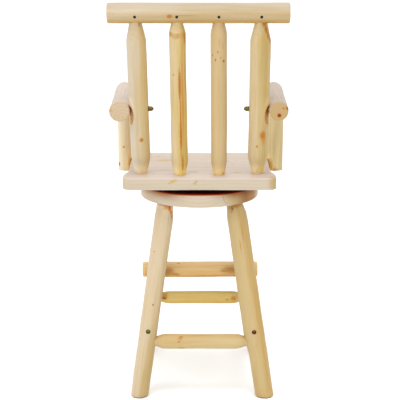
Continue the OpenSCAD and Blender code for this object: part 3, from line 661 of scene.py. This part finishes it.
def make_leg(side_name, end_name):
    side, end = SIDES[side_name], ENDS[end_name]
    foot, head = leg_point(side, end, 0), leg_point(side, end, DISC_BOTTOM)
    length = (head - foot).length
    radius = LEG_WIDTH[side] / 2
    neck = NECK_WIDTH / 2
    belly, shoulder_radius, bow = LEG_SHAPES.get((side, end), ([(-12, radius), (14, radius)], radius, ()))
    shoulder = falling(taper(neck, shoulder_radius, length - NECK_SHOWN - LEG_TAPER, LEG_TAPER, 0.5))
    outline = belly + shoulder + [(length + NECK_LENGTH - 1, neck), (length + NECK_LENGTH, neck - 1)]
    node = f"leg_{end_name}_{side_name}"
    seed = 3 + 2 * side + end
    leg = make_log(node, foot, head, outline, seed, (neck + 0.5, radius), bow)
    if (side, end) == (1, 1):
        shave(leg)
    level_foot(leg)
    drill(leg, rung_bores(side, leg_point(side, end, CROSS_RUNG_Z[end_name]), point(-side, 0, 0)))
    drill(leg, rung_bores(side, leg_point(side, end, SIDE_RUNG_Z), point(0, -end, 0)))
    marks = {
        (-1, -1): [
            ("knot", spot(307, -81, radius), 3.6, 3.4), ("knot", spot(478, -120, radius), 2, 2),
            # The stains and streaks at the neck are painted shade: the disc's shadow, and the dark gap by the
            # front leg
            ("stain", spot(634, -110, neck), 30, 8), ("stain", spot(624, -76, neck), 14, 12),
            ("streak", spot(630, -57, neck), 6, 9), ("streak", spot(620, -53, neck + 0.5), 8, 10),
            ("streak", spot(609, -42, neck + 2), 5.5, 10), ("streak", spot(595, -36, neck + 3), 4, 11),
            ("painted_light", spot(604, 0, 0), 60, 24), ("knot", spot(190, -150, radius), 2, 3),
        ],
        (1, -1): [
            ("scar", spot(620, -114, neck + 0.5), 5, 9), ("scar", spot(611, -120, neck + 1.5), 4.5, 7),
            # The streak and stain at the neck are painted shade, the disc's shadow
            ("streak", spot(638, -92, neck), 34, 6), ("stain", spot(630, -84, neck), 32, 9),
            ("resin", spot(610, -38, neck + 1.5), 2.6, 7), ("resin", spot(603, -50, neck + 3), 2.6, 7),
            ("resin", spot(596, -62, neck + 4), 2.6, 7), ("stain", spot(545, -72, radius), 2.6, 40),
            ("stain", spot(500, -95, radius), 2.2, 30), ("painted_light", spot(597, 0, 0), 60, 21),
        ],
        (-1, 1): [("knot", spot(380, 95, radius), 5, 6), ("streak", spot(500, 60, radius), 2, 50)],
        (1, 1): [("knot", spot(430, 70, radius), 6, 8), ("knot", spot(250, 120, radius), 4, 5)],
    }[side, end]
    pale, deep = ((216, 191, 142), (200, 162, 88)) if side > 0 else ((228, 209, 181), (202, 174, 118))
    # Painted light: how much each leg's colour is lifted at its top, by the disc
    painted_light = (1.45, 1.28, 0.74) if (side, end) == (1, -1) else (2.05, 2.05, 1.95)
    material = pine(node, foot, head, radius, seed, marks, pale, deep, 0.3,
                    tanned=(0.6, 0, -0.25), painted_light=painted_light)
    hand_over(leg, node, "base", material)
    return leg


def shave(leg):
    """Pares the right front leg's shoulder on its outer side, so that it stands behind the rear leg."""
    axis = leg_point(1, 1, 550)
    middle = point(axis.x + 166, axis.y, 604.3)
    carve(leg, cylinder_between(middle - point(0, 60, 0), middle + point(0, 60, 0), 300, 160))


def level_foot(leg):
    """Saws the foot level on the floor and breaks its edge."""
    pick(leg)
    set_mode("EDIT")
    bpy.ops.mesh.select_all(action="SELECT")
    bpy.ops.mesh.bisect(plane_co=(0, 0, 0), plane_no=(0, 0, 1), clear_inner=True, use_fill=True)
    set_mode("OBJECT")
    pick_vertices(leg, lambda place: abs(place.z) < NEAR)
    set_mode("EDIT")
    bpy.ops.mesh.bevel(offset=0.007, segments=5, affect="EDGES")
    face_outwards()


def make_rung(node, start, finish, width, start_radius, finish_radius, seed, marks, **finishing):
    """A rung from one leg's axis to the next, with a tenon at each end."""
    span = (finish - start).length
    radius, tenon = width / 2, RUNG_TENON / 2
    low, high = start_radius - RUNG_BITE, span - finish_radius + RUNG_BITE
    outline = [(low, tenon - 1), (low + 1, tenon)]
    outline += taper(tenon, radius, start_radius + 1, RUNG_TAPER, 0)
    outline += falling(taper(tenon, radius, span - finish_radius - 1 - RUNG_TAPER, RUNG_TAPER, 0))
    outline += [(high - 1, tenon), (high, tenon - 1)]
    rung = make_log(node, start, finish, outline, seed, (tenon + 0.5, radius))
    along = (finish - start).normalized()
    for origin, inward, leg_radius in ((start, along, start_radius), (finish, -along, finish_radius)):
        nut = origin + inward * (leg_radius + NUT_DEPTH)
        drill(rung, [
            (origin, nut + inward * BOLT_PAST_NUT, BOLT_HOLE),
            (nut + point(0, 0, 8.3), nut - point(0, 0, 48), NUT_HOLE),
        ])
    hand_over(rung, node, "base", pine(node, start, finish, radius, seed, marks, **finishing))


def make_foot_rail():
    start, finish = (point(x, FOOT_RAIL_Y, FOOT_RAIL_Z) for x in (FOOT_RAIL_LEFT, FOOT_RAIL_RIGHT))
    length, radius = FOOT_RAIL_RIGHT - FOOT_RAIL_LEFT, FOOT_RAIL_WIDTH / 2
    ends = rounded_ends(length, radius)
    thicker = [(60, 28.2), (170, 28.4), (330, 27.8)]
    bow = [(0, 0, 0), (60, -0.4, 0), (170, -0.4, 0), (330, 0.8, 0), (length, 0.8, 0)]
    rail = make_log("foot_rail", start, finish, ends[:6] + thicker + ends[6:], 21, (10, radius, 1.8), bow)
    for side_name, side in SIDES.items():
        middle = point(leg_point(side, 1, FOOT_RAIL_Z).x, FOOT_RAIL_Y, FOOT_RAIL_Z)
        head, back = middle + point(0, radius - FOOT_SCREW_DEPTH, 0), middle - point(0, radius, 0)
        drill(rail, stepped_holes(head, back, [(16, -30, 0), (8.6, -1, 60)]))
        leg = legs[side_name, "front"]
        carve(leg, rail, keep_cutter=True)
        drill(leg, [(back + point(0, 10, 0), back - point(0, 50, 0), 8.1)])
    marks = [
        ("stain", spot(286, 84, 27), 8, 18), ("stain", spot(306, 78, 27), 17, 34),
        ("stain", spot(92, 92, 27), 20, 26), ("stain", spot(125, 118, 27), 5, 10),
        ("stain", spot(112, 110, 27), 7, 20), ("stain", spot(127, 25, 27), 4, 7),
        ("stain", spot(240, 140, 27), 9, 140), ("knot", spot(210, -70, 27), 6, 6),
    ]
    material = pine("foot_rail", start, finish, radius, 21, marks, (264, 232, 176), (260, 206, 124), 0.3,
                    tanned=(-0.6, 0, 0))
    hand_over(rail, "foot_rail", "base", material)


def make_post(post):
    side_name = "left" if post < 2 else "right"
    outer = post in (0, 3)
    node = ("outer" if outer else "inner") + "_post_" + side_name
    foot, head = post_point(post, SEAT_TOP), post_point(post, RAIL_Z)
    length = (head - foot).length
    radius = POST_WIDTH[post] / 2
    step, ring = (1.5, 8) if outer else (0.4, 4)
    foot_taper, head_taper = (54, 52) if outer else (42, 34)
    neck, tenon = POST_HEAD_TENON[post] / 2, POST_TENON / 2
    shoulder = length - RAIL_WIDTH / 2 - 1 - head_taper
    outline = [(-POST_TENON_LENGTH, tenon - 1), (1 - POST_TENON_LENGTH, tenon), (ring, tenon)]
    outline += taper(tenon + step, radius, ring, foot_taper, 0.5)
    outline += falling(taper(neck, radius, shoulder, head_taper, 0.95 if outer else 0.3))
    outline += [(length + POST_HEAD_REACH - 1, neck), (length + POST_HEAD_REACH, neck - 1)]
    seed = 31 + 4 * post
    log = make_log(node, foot, head, outline, seed, (tenon + step + 1.5, radius))
    # A mark of painted light at the post's foot, lifting the colour there
    marks = POST_MARKS[post] + [("painted_light", spot(2, 0, 0), 60, 90)]
    hollow = None
    if outer:
        side = SIDES[side_name]
        scoop(log, post, side)
        groove = ARM_WIDTH + 2 * BEARING_GAP
        carve(log, cylinder_between(arm_point(side, -60), arm_point(side, 60), groove, 96))
        centre = arm_point(side, 0)
        flat = arm_gap(side) + radius - WASHER_DEPTH
        steps = [(ARM_BOLT_HOLE, 0, flat + 1), (WASHER_BORE, flat, flat + 20)]
        drill(log, stepped_holes(centre, centre - point(side, 0, 0), steps))
        # A mark of painted light where the arm meets the post
        marks.append(("painted_light", spot(214, 0, 0), 60, 62))
        # The hollow's colour: the cut wood, darkened with painted shade
        hollow = (160, 232, (206, 156, 84) if side < 0 else (206, 134, 34))
    band = (450, 459) if post == 1 else None
    material = pine(node, foot, head, radius, seed, marks, *POST_COLOURS[post], band=band, hollow=hollow)
    hand_over(log, node, "seat", material)


SCOOP_DROP = 18
SCOOP_DEPTH = 5.5
SCOOP_WIDTH = 250
SCOOP_TURN = math.radians(28)


def scoop(log, post, side):
    """The round hollow behind each arm, where the drawknife ran on."""
    radius = POST_WIDTH[post] / 2
    middle = post_point(post, ARM_Z - SCOOP_DROP)
    axis = (post_point(post, ARM_Z) - middle).normalized()
    level = point(side * math.cos(SCOOP_TURN), -math.sin(SCOOP_TURN), 0)
    outward = (level - axis * level.dot(axis)).normalized()
    across = axis.cross(outward)
    centre = middle + outward * (radius - SCOOP_DEPTH + SCOOP_WIDTH / 2)
    carve(log, cylinder_between(centre - across * radius, centre + across * radius, SCOOP_WIDTH, 160))


POST_MARKS = (
    [
        ("eye", spot(122, -79, 30.7), 7, 8), ("stain", spot(260, -18, 30), 4, 240),
        ("streak", spot(490, -52, 20), 3.5, 9),
    ],
    [
        ("streak", spot(298, -80, 26), 5, 60), ("streak", spot(137, -77, 26), 4.6, 64),
        ("streak", spot(195, -78, 26), 2.2, 190), ("streak", spot(44, -66, 24), 3.6, 36),
        ("stain", spot(240, -60, 26), 7, 190), ("stain", spot(320, -30, 26), 5, 120),
        ("knot", spot(330, -120, 26), 2, 3), ("stain", spot(445, -36, 25), 5, 34),
        ("streak", spot(444, -30, 25), 3, 26),
    ],
    [
        ("knot", spot(402, -97, 25.5), 2.2, 4.5), ("knot", spot(390, -140, 25.5), 2.6, 3.5),
        ("knot", spot(377, -114, 25.5), 2.2, 5.5), ("knot", spot(373, -55, 25.5), 4.4, 5),
        ("knot", spot(384, -78, 25.5), 1.6, 3), ("stain", spot(431, -88, 25.5), 1.8, 22),
        ("stain", spot(420, -60, 25.5), 1.6, 16), ("stain", spot(200, -20, 25), 6, 160),
        ("stain", spot(8, -40, 19), 10, 9),
    ],
    [
        ("eye", spot(137, -66, 32), 11, 14), ("stain", spot(126, -60, 32), 12, 28),
        ("eye", spot(101, -99, 32), 3.6, 4.4), ("streak", spot(493, -62, 20), 9, 14),
        ("streak", spot(474, -50, 24), 7, 15), ("streak", spot(457, -38, 28.5), 7, 16),
        ("streak", spot(441, -26, 31), 6, 15), ("stain", spot(425, -14, 32), 5, 40),
        # The stain at 192 lies in the scoop and is painted shade there
        ("resin", spot(289, -64, 32), 5, 26), ("stain", spot(192, -25, 29), 14, 40),
    ],
)

# Each post's pale and deep colours and how warm its streaks are
POST_COLOURS = (
    ((224, 210, 191), (218, 189, 131), 0.1),
    ((235, 214, 175), (218, 186, 101), 0.3),
    ((222, 195, 149), (210, 184, 136), 0.25),
    ((230, 208, 168), (202, 174, 108), 0.2),
)


def make_top_rail():
    start, finish = point(RAIL_LEFT, RAIL_Y, RAIL_Z), point(RAIL_RIGHT, RAIL_Y, RAIL_Z)
    radius = RAIL_WIDTH / 2
    outline = rounded_ends(RAIL_RIGHT - RAIL_LEFT, radius)
    rail = make_log("top_rail", start, finish, outline, 51, (10, radius, 1.8))
    for post in range(4):
        top, foot = post_point(post, RAIL_Z), post_point(post, SEAT_TOP)
        socket = (POST_HEAD_TENON[post] + SOCKET_PLAY, -RAIL_WIDTH, POST_HEAD_REACH + SOCKET_PLAY)
        drill(rail, stepped_holes(top, top + top - foot, [socket]))
        z = RAIL_Z - RAIL_SCREW_DROP
        face = RAIL_Y - math.sqrt(radius ** 2 - RAIL_SCREW_DROP ** 2)
        head = point(post_point(post, z).x, face + RAIL_SCREW_DEPTH, z)
        drill(rail, stepped_holes(head, head + point(0, 1, 0), [(9.2, -20, 0), (4.6, -1, 30)]))
    marks = [
        ("eye", spot(189, 104, 31.5), 7.5, 9.5), ("knot", spot(183, 109, 31.5), 1.6, 2.4),
        ("resin", spot(330, 152, 31.5), 6, 150), ("resin", spot(520, 140, 31.5), 3, 26),
        ("streak", spot(235, 100, 31.5), 0.9, 40), ("knot", spot(60, -40, 31.5), 3, 3),
        ("streak", spot(338, 152, 31.5), 4, 15), ("streak", spot(479, 153, 31.5), 4, 12),
        ("knot", spot(420, -60, 31.5), 6, 7),
    ]
    # Painted shade by facing: the top is darkened a little, the underside turned yellower
    material = pine("top_rail", start, finish, radius, 51, marks, (227, 213, 192), (206, 180, 134), 0.12,
                    tanned=(-0.8, 0, 0.12), facing_shade=((224, 224, 225), (255, 255, 255), (252, 222, 156)))
    hand_over(rail, "top_rail", "seat", material)


def make_arm(side_name):
    side = SIDES[side_name]
    node = "arm_" + side_name
    start, finish = arm_point(side, -ARM_TAIL), arm_point(side, ARM_LENGTH - ARM_TAIL)
    length, radius = (finish - start).length, ARM_WIDTH / 2
    ends = rounded_ends(length, radius)
    # The front ends are a little thicker, and so is the left arm's rear end
    more, sag = (1.6, 1.4) if side < 0 else (0, 0)
    rear_end = [(height, ring + more) for height, ring in ends[:6]]
    front_end = [(height, ring + 1.4) for height, ring in ends[6:]]
    bow = [(0, 0, sag), (5, 0, sag), (17, 0, 0), (230, 0, 0), (length, -1.4 * side, -0.8)]
    outline = rear_end + [(17, radius), (230, radius)] + front_end
    seed = 60 + 5 * side
    arm = make_log(node, start, finish, outline, seed, (10, radius, 1.6), bow)
    centre = arm_point(side, 0)
    head_end = ARM_HEAD_DEPTH - radius
    steps = [(ARM_HEAD_BORE, -ARM_WIDTH, head_end), (ARM_BOLT_HOLE, head_end - 1, ARM_WIDTH)]
    drill(arm, stepped_holes(centre, centre - point(side, 0, 0), steps))
    socket = point(support_x(side), SUPPORT_Y, ARM_Z)
    end = socket + point(0, 0, SUPPORT_REACH + SOCKET_PLAY)
    drill(arm, [(socket - point(0, 0, ARM_WIDTH), end, SUPPORT_TENON + SOCKET_PLAY)])
    marks = {
        -1: [("stain", spot(0, 185, 27), 6, 5), ("knot", spot(230, -120, 30), 5, 6)],
        1: [
            ("heart", spot(0, 86, 13), 8, 12), ("knot", spot(0, -20, 29), 8, 9),
            ("eye", spot(0, -34, 16), 4, 8), ("knot", spot(250, -70, 30), 4, 5),
        ],
    }[side]
    # A mark of painted light where the arm meets the post; its lift is given below
    marks.append(("painted_light", spot(60, 0, 0), 60, 70))
    pith, ring = ((12, 22), 11) if side < 0 else ((6, 4), 5)
    pale, deep = ((210, 195, 186), (210, 186, 150)) if side < 0 else ((191, 177, 168), (200, 172, 128))
    soaked = (222, 200, 172) if side < 0 else (207, 178, 125)
    material = pine(node, start, finish, radius, seed, marks, pale, deep, 0.1, pith, ring=ring,
                    tanned=(0, 0.9, 0), end_rings=0.9, soaked=soaked, painted_light=(1.35, 1.28, 1.18))
    hand_over(arm, node, "seat", material)


def make_support(side_name):
    side = SIDES[side_name]
    node = "arm_support_" + side_name
    foot = point(support_x(side), SUPPORT_Y, SEAT_BOTTOM)
    radius, tenon = SUPPORT_WIDTH[side] / 2, SUPPORT_TENON / 2
    top = ARM_Z + SUPPORT_REACH - SEAT_BOTTOM
    shoulder = ARM_Z - ARM_WIDTH / 2 - 1 - SUPPORT_TAPER - SEAT_BOTTOM
    outline = [(-3.4, radius - 2.5), (-2.7, radius - 0.8), (-0.9, radius), (30, radius)]
    outline += falling(taper(tenon, radius, shoulder, SUPPORT_TAPER, 0.5))
    outline += [(top - 1, tenon), (top, tenon - 1)]
    seed = 80 + 3 * side
    log = make_log(node, foot, foot + point(0, 0, 1), outline, seed, (tenon + 1, radius, 1.6))
    edge = side * (WAIST_WIDTH / 2 + BEARING_GAP)
    carve(log, add_box(point(edge - side * 10, SUPPORT_Y, SEAT_TOP - 24), point(20, 80, 48)))
    runout = point(edge - side * 60, SUPPORT_Y, SEAT_TOP)
    carve(log, cylinder_between(runout - point(0, 40, 0), runout + point(0, 40, 0), 120, 128))
    head = point(side * (abs(support_x(side)) + radius - 4.5), SUPPORT_Y, SEAT_TOP - SEAT_THICK / 2)
    drill(log, stepped_holes(head, head - point(side, 0, 0), [(13.6, -20, 0), (7.6, -1, 60)]))
    marks = {
        -1: [
            ("eye", spot(79, -97, 23), 3.6, 3.6), ("knot", spot(19, 208, 23), 8, 8),
            ("tan", spot(24, -48, 23), 6, 34),
        ],
        1: [
            # The stains at the foot, on the inner side by the seat, are painted shade from the seat
            ("stain", spot(14, -126, 26), 12, 30), ("stain", spot(11, -136, 26), 8, 20),
            ("streak", spot(8, -138, 26), 4, 9), ("stain", spot(2, -95, 26), 16, 9),
        ],
    }[side]
    # A mark of painted light at the support's foot; its lift is given below
    marks.append(("painted_light", spot(24, 0, 0), 60, 56))
    pale, deep = ((250, 236, 210), (242, 214, 168)) if side < 0 else ((264, 247, 198), (212, 188, 140))
    material = pine(node, foot, foot + point(0, 0, 250), radius, seed, marks, pale, deep, 0.15,
                    painted_light=(1.35, 1.28, 1.05))
    hand_over(log, node, "seat", material)


# Boards

def plate_bolts(z):
    """Where the swivel's bolts stand, at a height."""
    return [point(x, y, z) for x in (-PLATE_BOLT_AT, PLATE_BOLT_AT) for y in (-PLATE_BOLT_AT, PLATE_BOLT_AT)]


def make_seat():
    """A board sawn to the seat's outline: full width at the rear corners and drawn in to the waist."""
    middle = point(0, 0, SEAT_TOP - SEAT_THICK / 2)
    seat = add_box(middle, point(SEAT_WIDTH, SEAT_DEPTH, SEAT_THICK))
    seat.name = "pine_seat_board"
    ear_end = EAR_LENGTH - SEAT_DEPTH / 2
    stations = [ear_end + BLEND_LENGTH * step / 12 for step in range(13)]
    set_mode("EDIT")
    for y in stations:
        bpy.ops.mesh.select_all(action="SELECT")
        bpy.ops.mesh.bisect(plane_co=(0, y * MM, middle.z * MM), plane_no=(0, 1, 0))
    set_mode("OBJECT")
    for y in stations[1:] + [SEAT_DEPTH / 2]:
        part = min(1, (y - ear_end) / BLEND_LENGTH)
        eased = 2 * part * part if part < 0.5 else 1 - 2 * (1 - part) ** 2
        narrow = 1 - (1 - WAIST_WIDTH / SEAT_WIDTH) * eased
        pick_vertices(seat, lambda place: abs(place.y - y * MM) < NEAR)
        set_mode("EDIT")
        bpy.ops.transform.resize(value=(narrow, 1, 1), center_override=(0, 0, 0))
        set_mode("OBJECT")
    for y, corner in ((-SEAT_DEPTH / 2, REAR_CORNER), (SEAT_DEPTH / 2, FRONT_CORNER)):
        pick_edges(seat, lambda a, b: abs(a.y - y * MM) < NEAR and abs(b.y - y * MM) < NEAR
                   and abs(a.x - b.x) < NEAR < abs(a.z - b.z))
        set_mode("EDIT")
        bpy.ops.mesh.bevel(offset=corner * MM, segments=10, affect="EDGES")
        set_mode("OBJECT")
    soften_rims(seat, SEAT_TOP, SEAT_BOTTOM, 4, 3)
    holes = []
    for post in range(4):
        foot, head = post_point(post, SEAT_TOP), post_point(post, RAIL_Z)
        holes += stepped_holes(foot, head, [
            (POST_TENON + SOCKET_PLAY, -POST_TENON_LENGTH - SOCKET_PLAY, 20),
            (5.6, -33, -27),
            (10.6, -76, -32),
        ])
    for low in plate_bolts(SEAT_BOTTOM - 5):
        holes.append((low, low + point(0, 0, 29.7), 4.3))
    for side in SIDES.values():
        edge = point(side * (WAIST_WIDTH / 2 + 5), SUPPORT_Y, SEAT_TOP - SEAT_THICK / 2)
        holes.append((edge, edge - point(side * 43.3, 0, 0), 7.1))
    drill(seat, holes)
    start, finish = (point(side * SEAT_WIDTH / 2, -60, SEAT_TOP - SEAT_PITH_DROP) for side in (-1, 1))
    marks = [
        ("resin", at(180, 136, 157), 6, 10), ("resin", at(184, 136, 164), 4, 9),
        ("resin", at(174, 136, 148), 3, 8), ("tan", at(174, 136, 226), 4, 6),
        ("tan", at(180, 136, 231), 4, 5), ("tan", at(172, 122, 476), 34, 26),
        ("tan", at(190, 44, 220), 10, 26), ("tan", at(190, 51, 362), 10, 22),
        ("stain", at(164, 124, 12), 8, 6), ("tan", at(190, -134, 126), 12, 34),
        ("resin", at(190, -134, 126), 7, 26), ("tan", at(190, -194, 102), 8, 14),
        ("stain", at(190, -111, 344), 3, 5), ("knot", at(190, -120, 330), 7, 10),
    ]
    # Painted shade by facing: the underside is tinted dark brown, the sides a little yellower
    material = pine("seat_board", start, finish, 150, 90, marks, (229, 217, 215), (218, 204, 192), 0.04,
                    (0, 0), True, 9, tanned=(0, -0.5, 0), soaked=(224, 208, 176),
                    facing_shade=((255, 255, 255), (246, 245, 228), (64, 26, 8)))
    hand_over(seat, "seat_board", "seat", material)


def soften_rims(piece, top, bottom, top_round, bottom_round):
    """Rounds the arrises of a board's upper and lower faces."""
    for height, size in ((top, top_round), (bottom, bottom_round)):
        up = 1 if height == top else -1
        select_only(piece, "FACE")
        for face in piece.data.polygons:
            face.select = face.normal.z * up > 0.9
        set_mode("EDIT")
        bpy.ops.mesh.region_to_loop()
        bpy.ops.mesh.bevel(offset=size * MM, segments=4, affect="EDGES")
        set_mode("OBJECT")


def make_disc():
    """The round board under the swivel, glued up from staves, with the legs' and bolts' bores."""
    disc = cylinder_between(point(0, 0, DISC_BOTTOM), point(0, 0, DISC_TOP), DISC_WIDTH, 128)
    disc.name = "pine_base_disc"
    soften_rims(disc, DISC_TOP, DISC_BOTTOM, 6, 3)
    holes = []
    for side in SIDES.values():
        for end in ENDS.values():
            foot, head = leg_point(side, end, DISC_BOTTOM), leg_point(side, end, DISC_TOP)
            holes += stepped_holes(foot, head, [
                (NECK_WIDTH + SOCKET_PLAY, -30, NECK_LENGTH + SOCKET_PLAY),
                (BOLT_HOLE, NECK_LENGTH, NECK_LENGTH + 7),
                (12.6, NECK_LENGTH + 6, 60),
            ])
    for low in plate_bolts(DISC_BOTTOM):
        holes += stepped_holes(low, low + point(0, 0, 1), [(10.6, -10, 8), (BOLT_HOLE, 7, 60)])
    drill(disc, holes)
    start, finish = (point(side * DISC_WIDTH / 2, -20, DISC_TOP - DISC_PITH_DROP) for side in (-1, 1))
    marks = [
        ("shade", at(128, 84, 354), 76, 58), ("tan", at(128, 120, 312), 50, 50),
        ("resin", at(145, 157, 266), 5, 2.4), ("resin", at(138, 157, 266.6), 5, 2.4),
        ("resin", at(131, 156.5, 268), 5, 2.4), ("resin", at(125, 155.5, 270.5), 5, 2.6),
        ("resin", at(120, 153.5, 275), 3.6, 3.6), ("resin", at(116.5, 150.5, 281), 3.2, 4.5),
    ]
    # The disc's creases, its top face and its lower face carry painted shade, for the dark gap under the seat
    material = pine("base_disc", start, finish, 150, 95, marks, (228, 217, 206), (219, 204, 182), 0.08,
                    (0, 0), True, 8, tanned=(0, 0, 0), soaked=(222, 204, 176), crease_shade=(216, 132, 20),
                    crease_reach=(0.995, 0.7, 0, 1), facing_shade=((230, 128, 40), (255, 255, 255), (220, 134, 54)))
    hand_over(disc, "base_disc", "base", material)


# Metal

def metal(wires, shade, metallic, grain, roughness, spread, strength):
    """A metal's colour, with the roughness and the bumps of its fine grain."""
    rough = wires.fade(grain, 0.3, 0.7, roughness, roughness + spread)
    bump = wires.bump(grain, strength, 0.0002)
    return wires.finish(Base_Color=shade, Metallic=metallic, Roughness=rough, Normal=bump)


def plated(name, base, rubbed, roughness, tint=None):
    """Metal with a brushed, slightly blotched surface. A tint gives the play of colours of a zinc coat."""
    wires = Wires(name)
    place = wires.coordinates("Object")
    blotch = wires.noise(place, 260, 3)
    scratch = wires.noise(wires.scaled(place, (1, 1, 0.15)), 2600, 2)
    shade = wires.mix(wires.fade(blotch, 0.4, 0.62), screen(*base), screen(*rubbed))
    if tint:
        shade = wires.mix(wires.fade(wires.noise(place, 190, 1), 0.5, 0.66), shade, screen(*tint))
    return metal(wires, shade, 1.0, scratch, roughness, 0.2, 0.25)


def painted(name, base, worn, roughness):
    wires = Wires(name)
    place = wires.coordinates("Object")
    wear = wires.fade(wires.noise(place, 420, 3), 0.56, 0.7)
    grit = wires.noise(place, 3200, 2)
    shade = wires.mix(wear, screen(*base), screen(*worn))
    return metal(wires, shade, 0.3, grit, roughness, 0.15, 0.2)


def bolt_heads():
    """Dark zinc, with a painted highlight in the zinc's colours in each socket, green left and copper right.
    """
    wires = Wires("side_bolt_zinc")
    place = wires.coordinates("Object")
    blotch = wires.noise(place, 260, 3)
    shade = wires.mix(wires.fade(blotch, 0.4, 0.62), screen(52, 44, 26), screen(84, 70, 36))
    for side, colour in ((-1, (104, 150, 40)), (1, (176, 72, 48))):
        centre = leg_point(side, -1, SIDE_RUNG_Z) * MM
        away = wires.vector("SUBTRACT", place, (centre.x, 0, centre.z))
        distance = wires.length(wires.scaled(away, (1, 0, 1)))
        glint = wires.plus(distance, wires.times(wires.minus(blotch, 0.5), 0.002))
        shade = wires.mix(wires.fade(glint, 0.0042, 0.003), shade, screen(*colour))
    return metal(wires, shade, 0.5, wires.noise(place, 2600, 2), 0.35, 0.2, 0.25)


def dress_metal():
    zinc = plated("yellow_zinc", (92, 88, 34), (140, 118, 46), 0.28, (96, 44, 30))
    dark_zinc = plated("dark_yellow_zinc", (58, 56, 28), (96, 92, 40), 0.3, (78, 40, 28))
    steel = plated("bright_steel", (176, 178, 180), (206, 206, 204), 0.25)
    # The swivel plates are a dark red-brown as painted shade, for the dark gap between the seat and the disc
    plate = painted("oiled_steel", (44, 22, 12), (70, 42, 26), 0.5)
    black = painted("black_steel", (22, 20, 20), (58, 54, 50), 0.4)
    finishes = {
        zinc: ("barrel_nuts", "foot_rail_screws", "arm_cap_nuts"),
        dark_zinc: ("cross_rung_bolts",),
        bolt_heads(): ("side_rung_bolts",),
        plate: ("swivel_lower_plate", "swivel_upper_plate"),
        steel: ("leg_screws", "swivel_bolts", "bearing_cage", "bearing_balls", "plate_screws", "arm_bolts"),
        black: ("post_screws", "rail_screws", "arm_washers", "support_screws"),
    }
    for material, nodes in finishes.items():
        for node in nodes:
            dress(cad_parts[node], material)


# Making the stool

legs = {(side_name, end_name): make_leg(side_name, end_name) for side_name in SIDES for end_name in ENDS}

CROSS_MARKS = {
    "rear": [
        ("eye", spot(111, 34, 24.5), 3.4, 7), ("eye", spot(104, 74, 24.5), 3, 4.4),
        ("stain", spot(108, 50, 24.5), 6, 10), ("stain", spot(112, 130, 24.5), 5, 14),
        ("resin", spot(170, 18, 24.5), 5, 60),
    ],
    "front": [
        ("stain", spot(44, 60, 20), 14, 16), ("streak", spot(42, 84, 20), 6, 12),
        ("stain", spot(285, 84, 21), 14, 14), ("stain", spot(262, 96, 22), 5, 7),
    ],
}
# The rungs' pale and deep colours, and the side painted deep as painted shade
CROSS_FINISH = {
    "rear": {"pale": (224, 202, 154), "deep": (218, 188, 134), "tanned": (0.5, 0, 0)},
    "front": {"pale": (253, 230, 152), "deep": (242, 200, 104), "tanned": (-0.6, 0, 0)},
}
for end_name, end in ENDS.items():
    z = CROSS_RUNG_Z[end_name]
    make_rung(
        end_name + "_rung", leg_point(-1, end, z), leg_point(1, end, z), CROSS_RUNG_WIDTH[end_name],
        LEG_WIDTH[-1] / 2, LEG_WIDTH[1] / 2, 11 + end, CROSS_MARKS[end_name], warmth=0.2,
        **CROSS_FINISH[end_name])
for side_name, side in SIDES.items():
    radius = LEG_WIDTH[side] / 2
    side_marks = [("knot", spot(180, 150 * side, 23), 5, 6), ("streak", spot(210, 60, 23), 1.5, 50)]
    make_rung(
        "side_rung_" + side_name, leg_point(side, -1, SIDE_RUNG_Z), leg_point(side, 1, SIDE_RUNG_Z),
        SIDE_RUNG_WIDTH, radius, radius, 17 + side, side_marks,
        pale=(226, 196, 142), deep=(212, 174, 108), warmth=0.6)

make_foot_rail()
make_disc()
make_seat()
for post in range(4):
    make_post(post)
make_top_rail()
for side_name in SIDES:
    make_arm(side_name)
    make_support(side_name)
dress_metal()

# Studio

bpy.context.scene.view_settings.view_transform = "Standard"
deselect()
bpy.ops.mesh.primitive_plane_add(size=80)
floor = bpy.context.object
floor.name = "studio_floor"
wires = Wires("studio_floor")
place = wires.coordinates("Object")
shade = wires.mix(wires.noise(place, 1.2, 2), screen(250, 253, 255), screen(247, 251, 255))
dress(floor, wires.finish(Base_Color=shade, Roughness=0.9, Specular_IOR_Level=0.1))

world = bpy.data.worlds.new("studio")
bpy.context.scene.world = world
world.use_nodes = True
sky = world.node_tree.nodes["Background"]
sky.inputs["Color"].default_value = (1.0, 0.995, 0.985, 1)
sky.inputs["Strength"].default_value = 1.24


def add_light(name, place, size, power, tint):
    bpy.ops.object.light_add(type="AREA", location=place)
    light = bpy.context.object
    light.name = name
    light.data.shape = "DISK"
    light.data.size = size
    light.data.energy = power
    light.data.color = tint
    light.rotation_euler = (point(0, 0, 0.7) - Vector(place)).to_track_quat("-Z", "Y").to_euler()


add_light("key", (-2.6, -2.4, 3.4), 2.2, 28, (0.94, 0.97, 1))
add_light("top", (0.2, -0.9, 4.4), 2.4, 64, (1, 1, 1))

bpy.ops.object.camera_add(location=(0, -3.878, 1.579), rotation=(math.radians(90 - 14.12), 0, 0))
camera = bpy.context.object
camera.data.sensor_width = 36
camera.data.lens = 109.3
camera.data.shift_x = 0.0013
camera.data.shift_y = 0.0003
bpy.context.scene.camera = camera
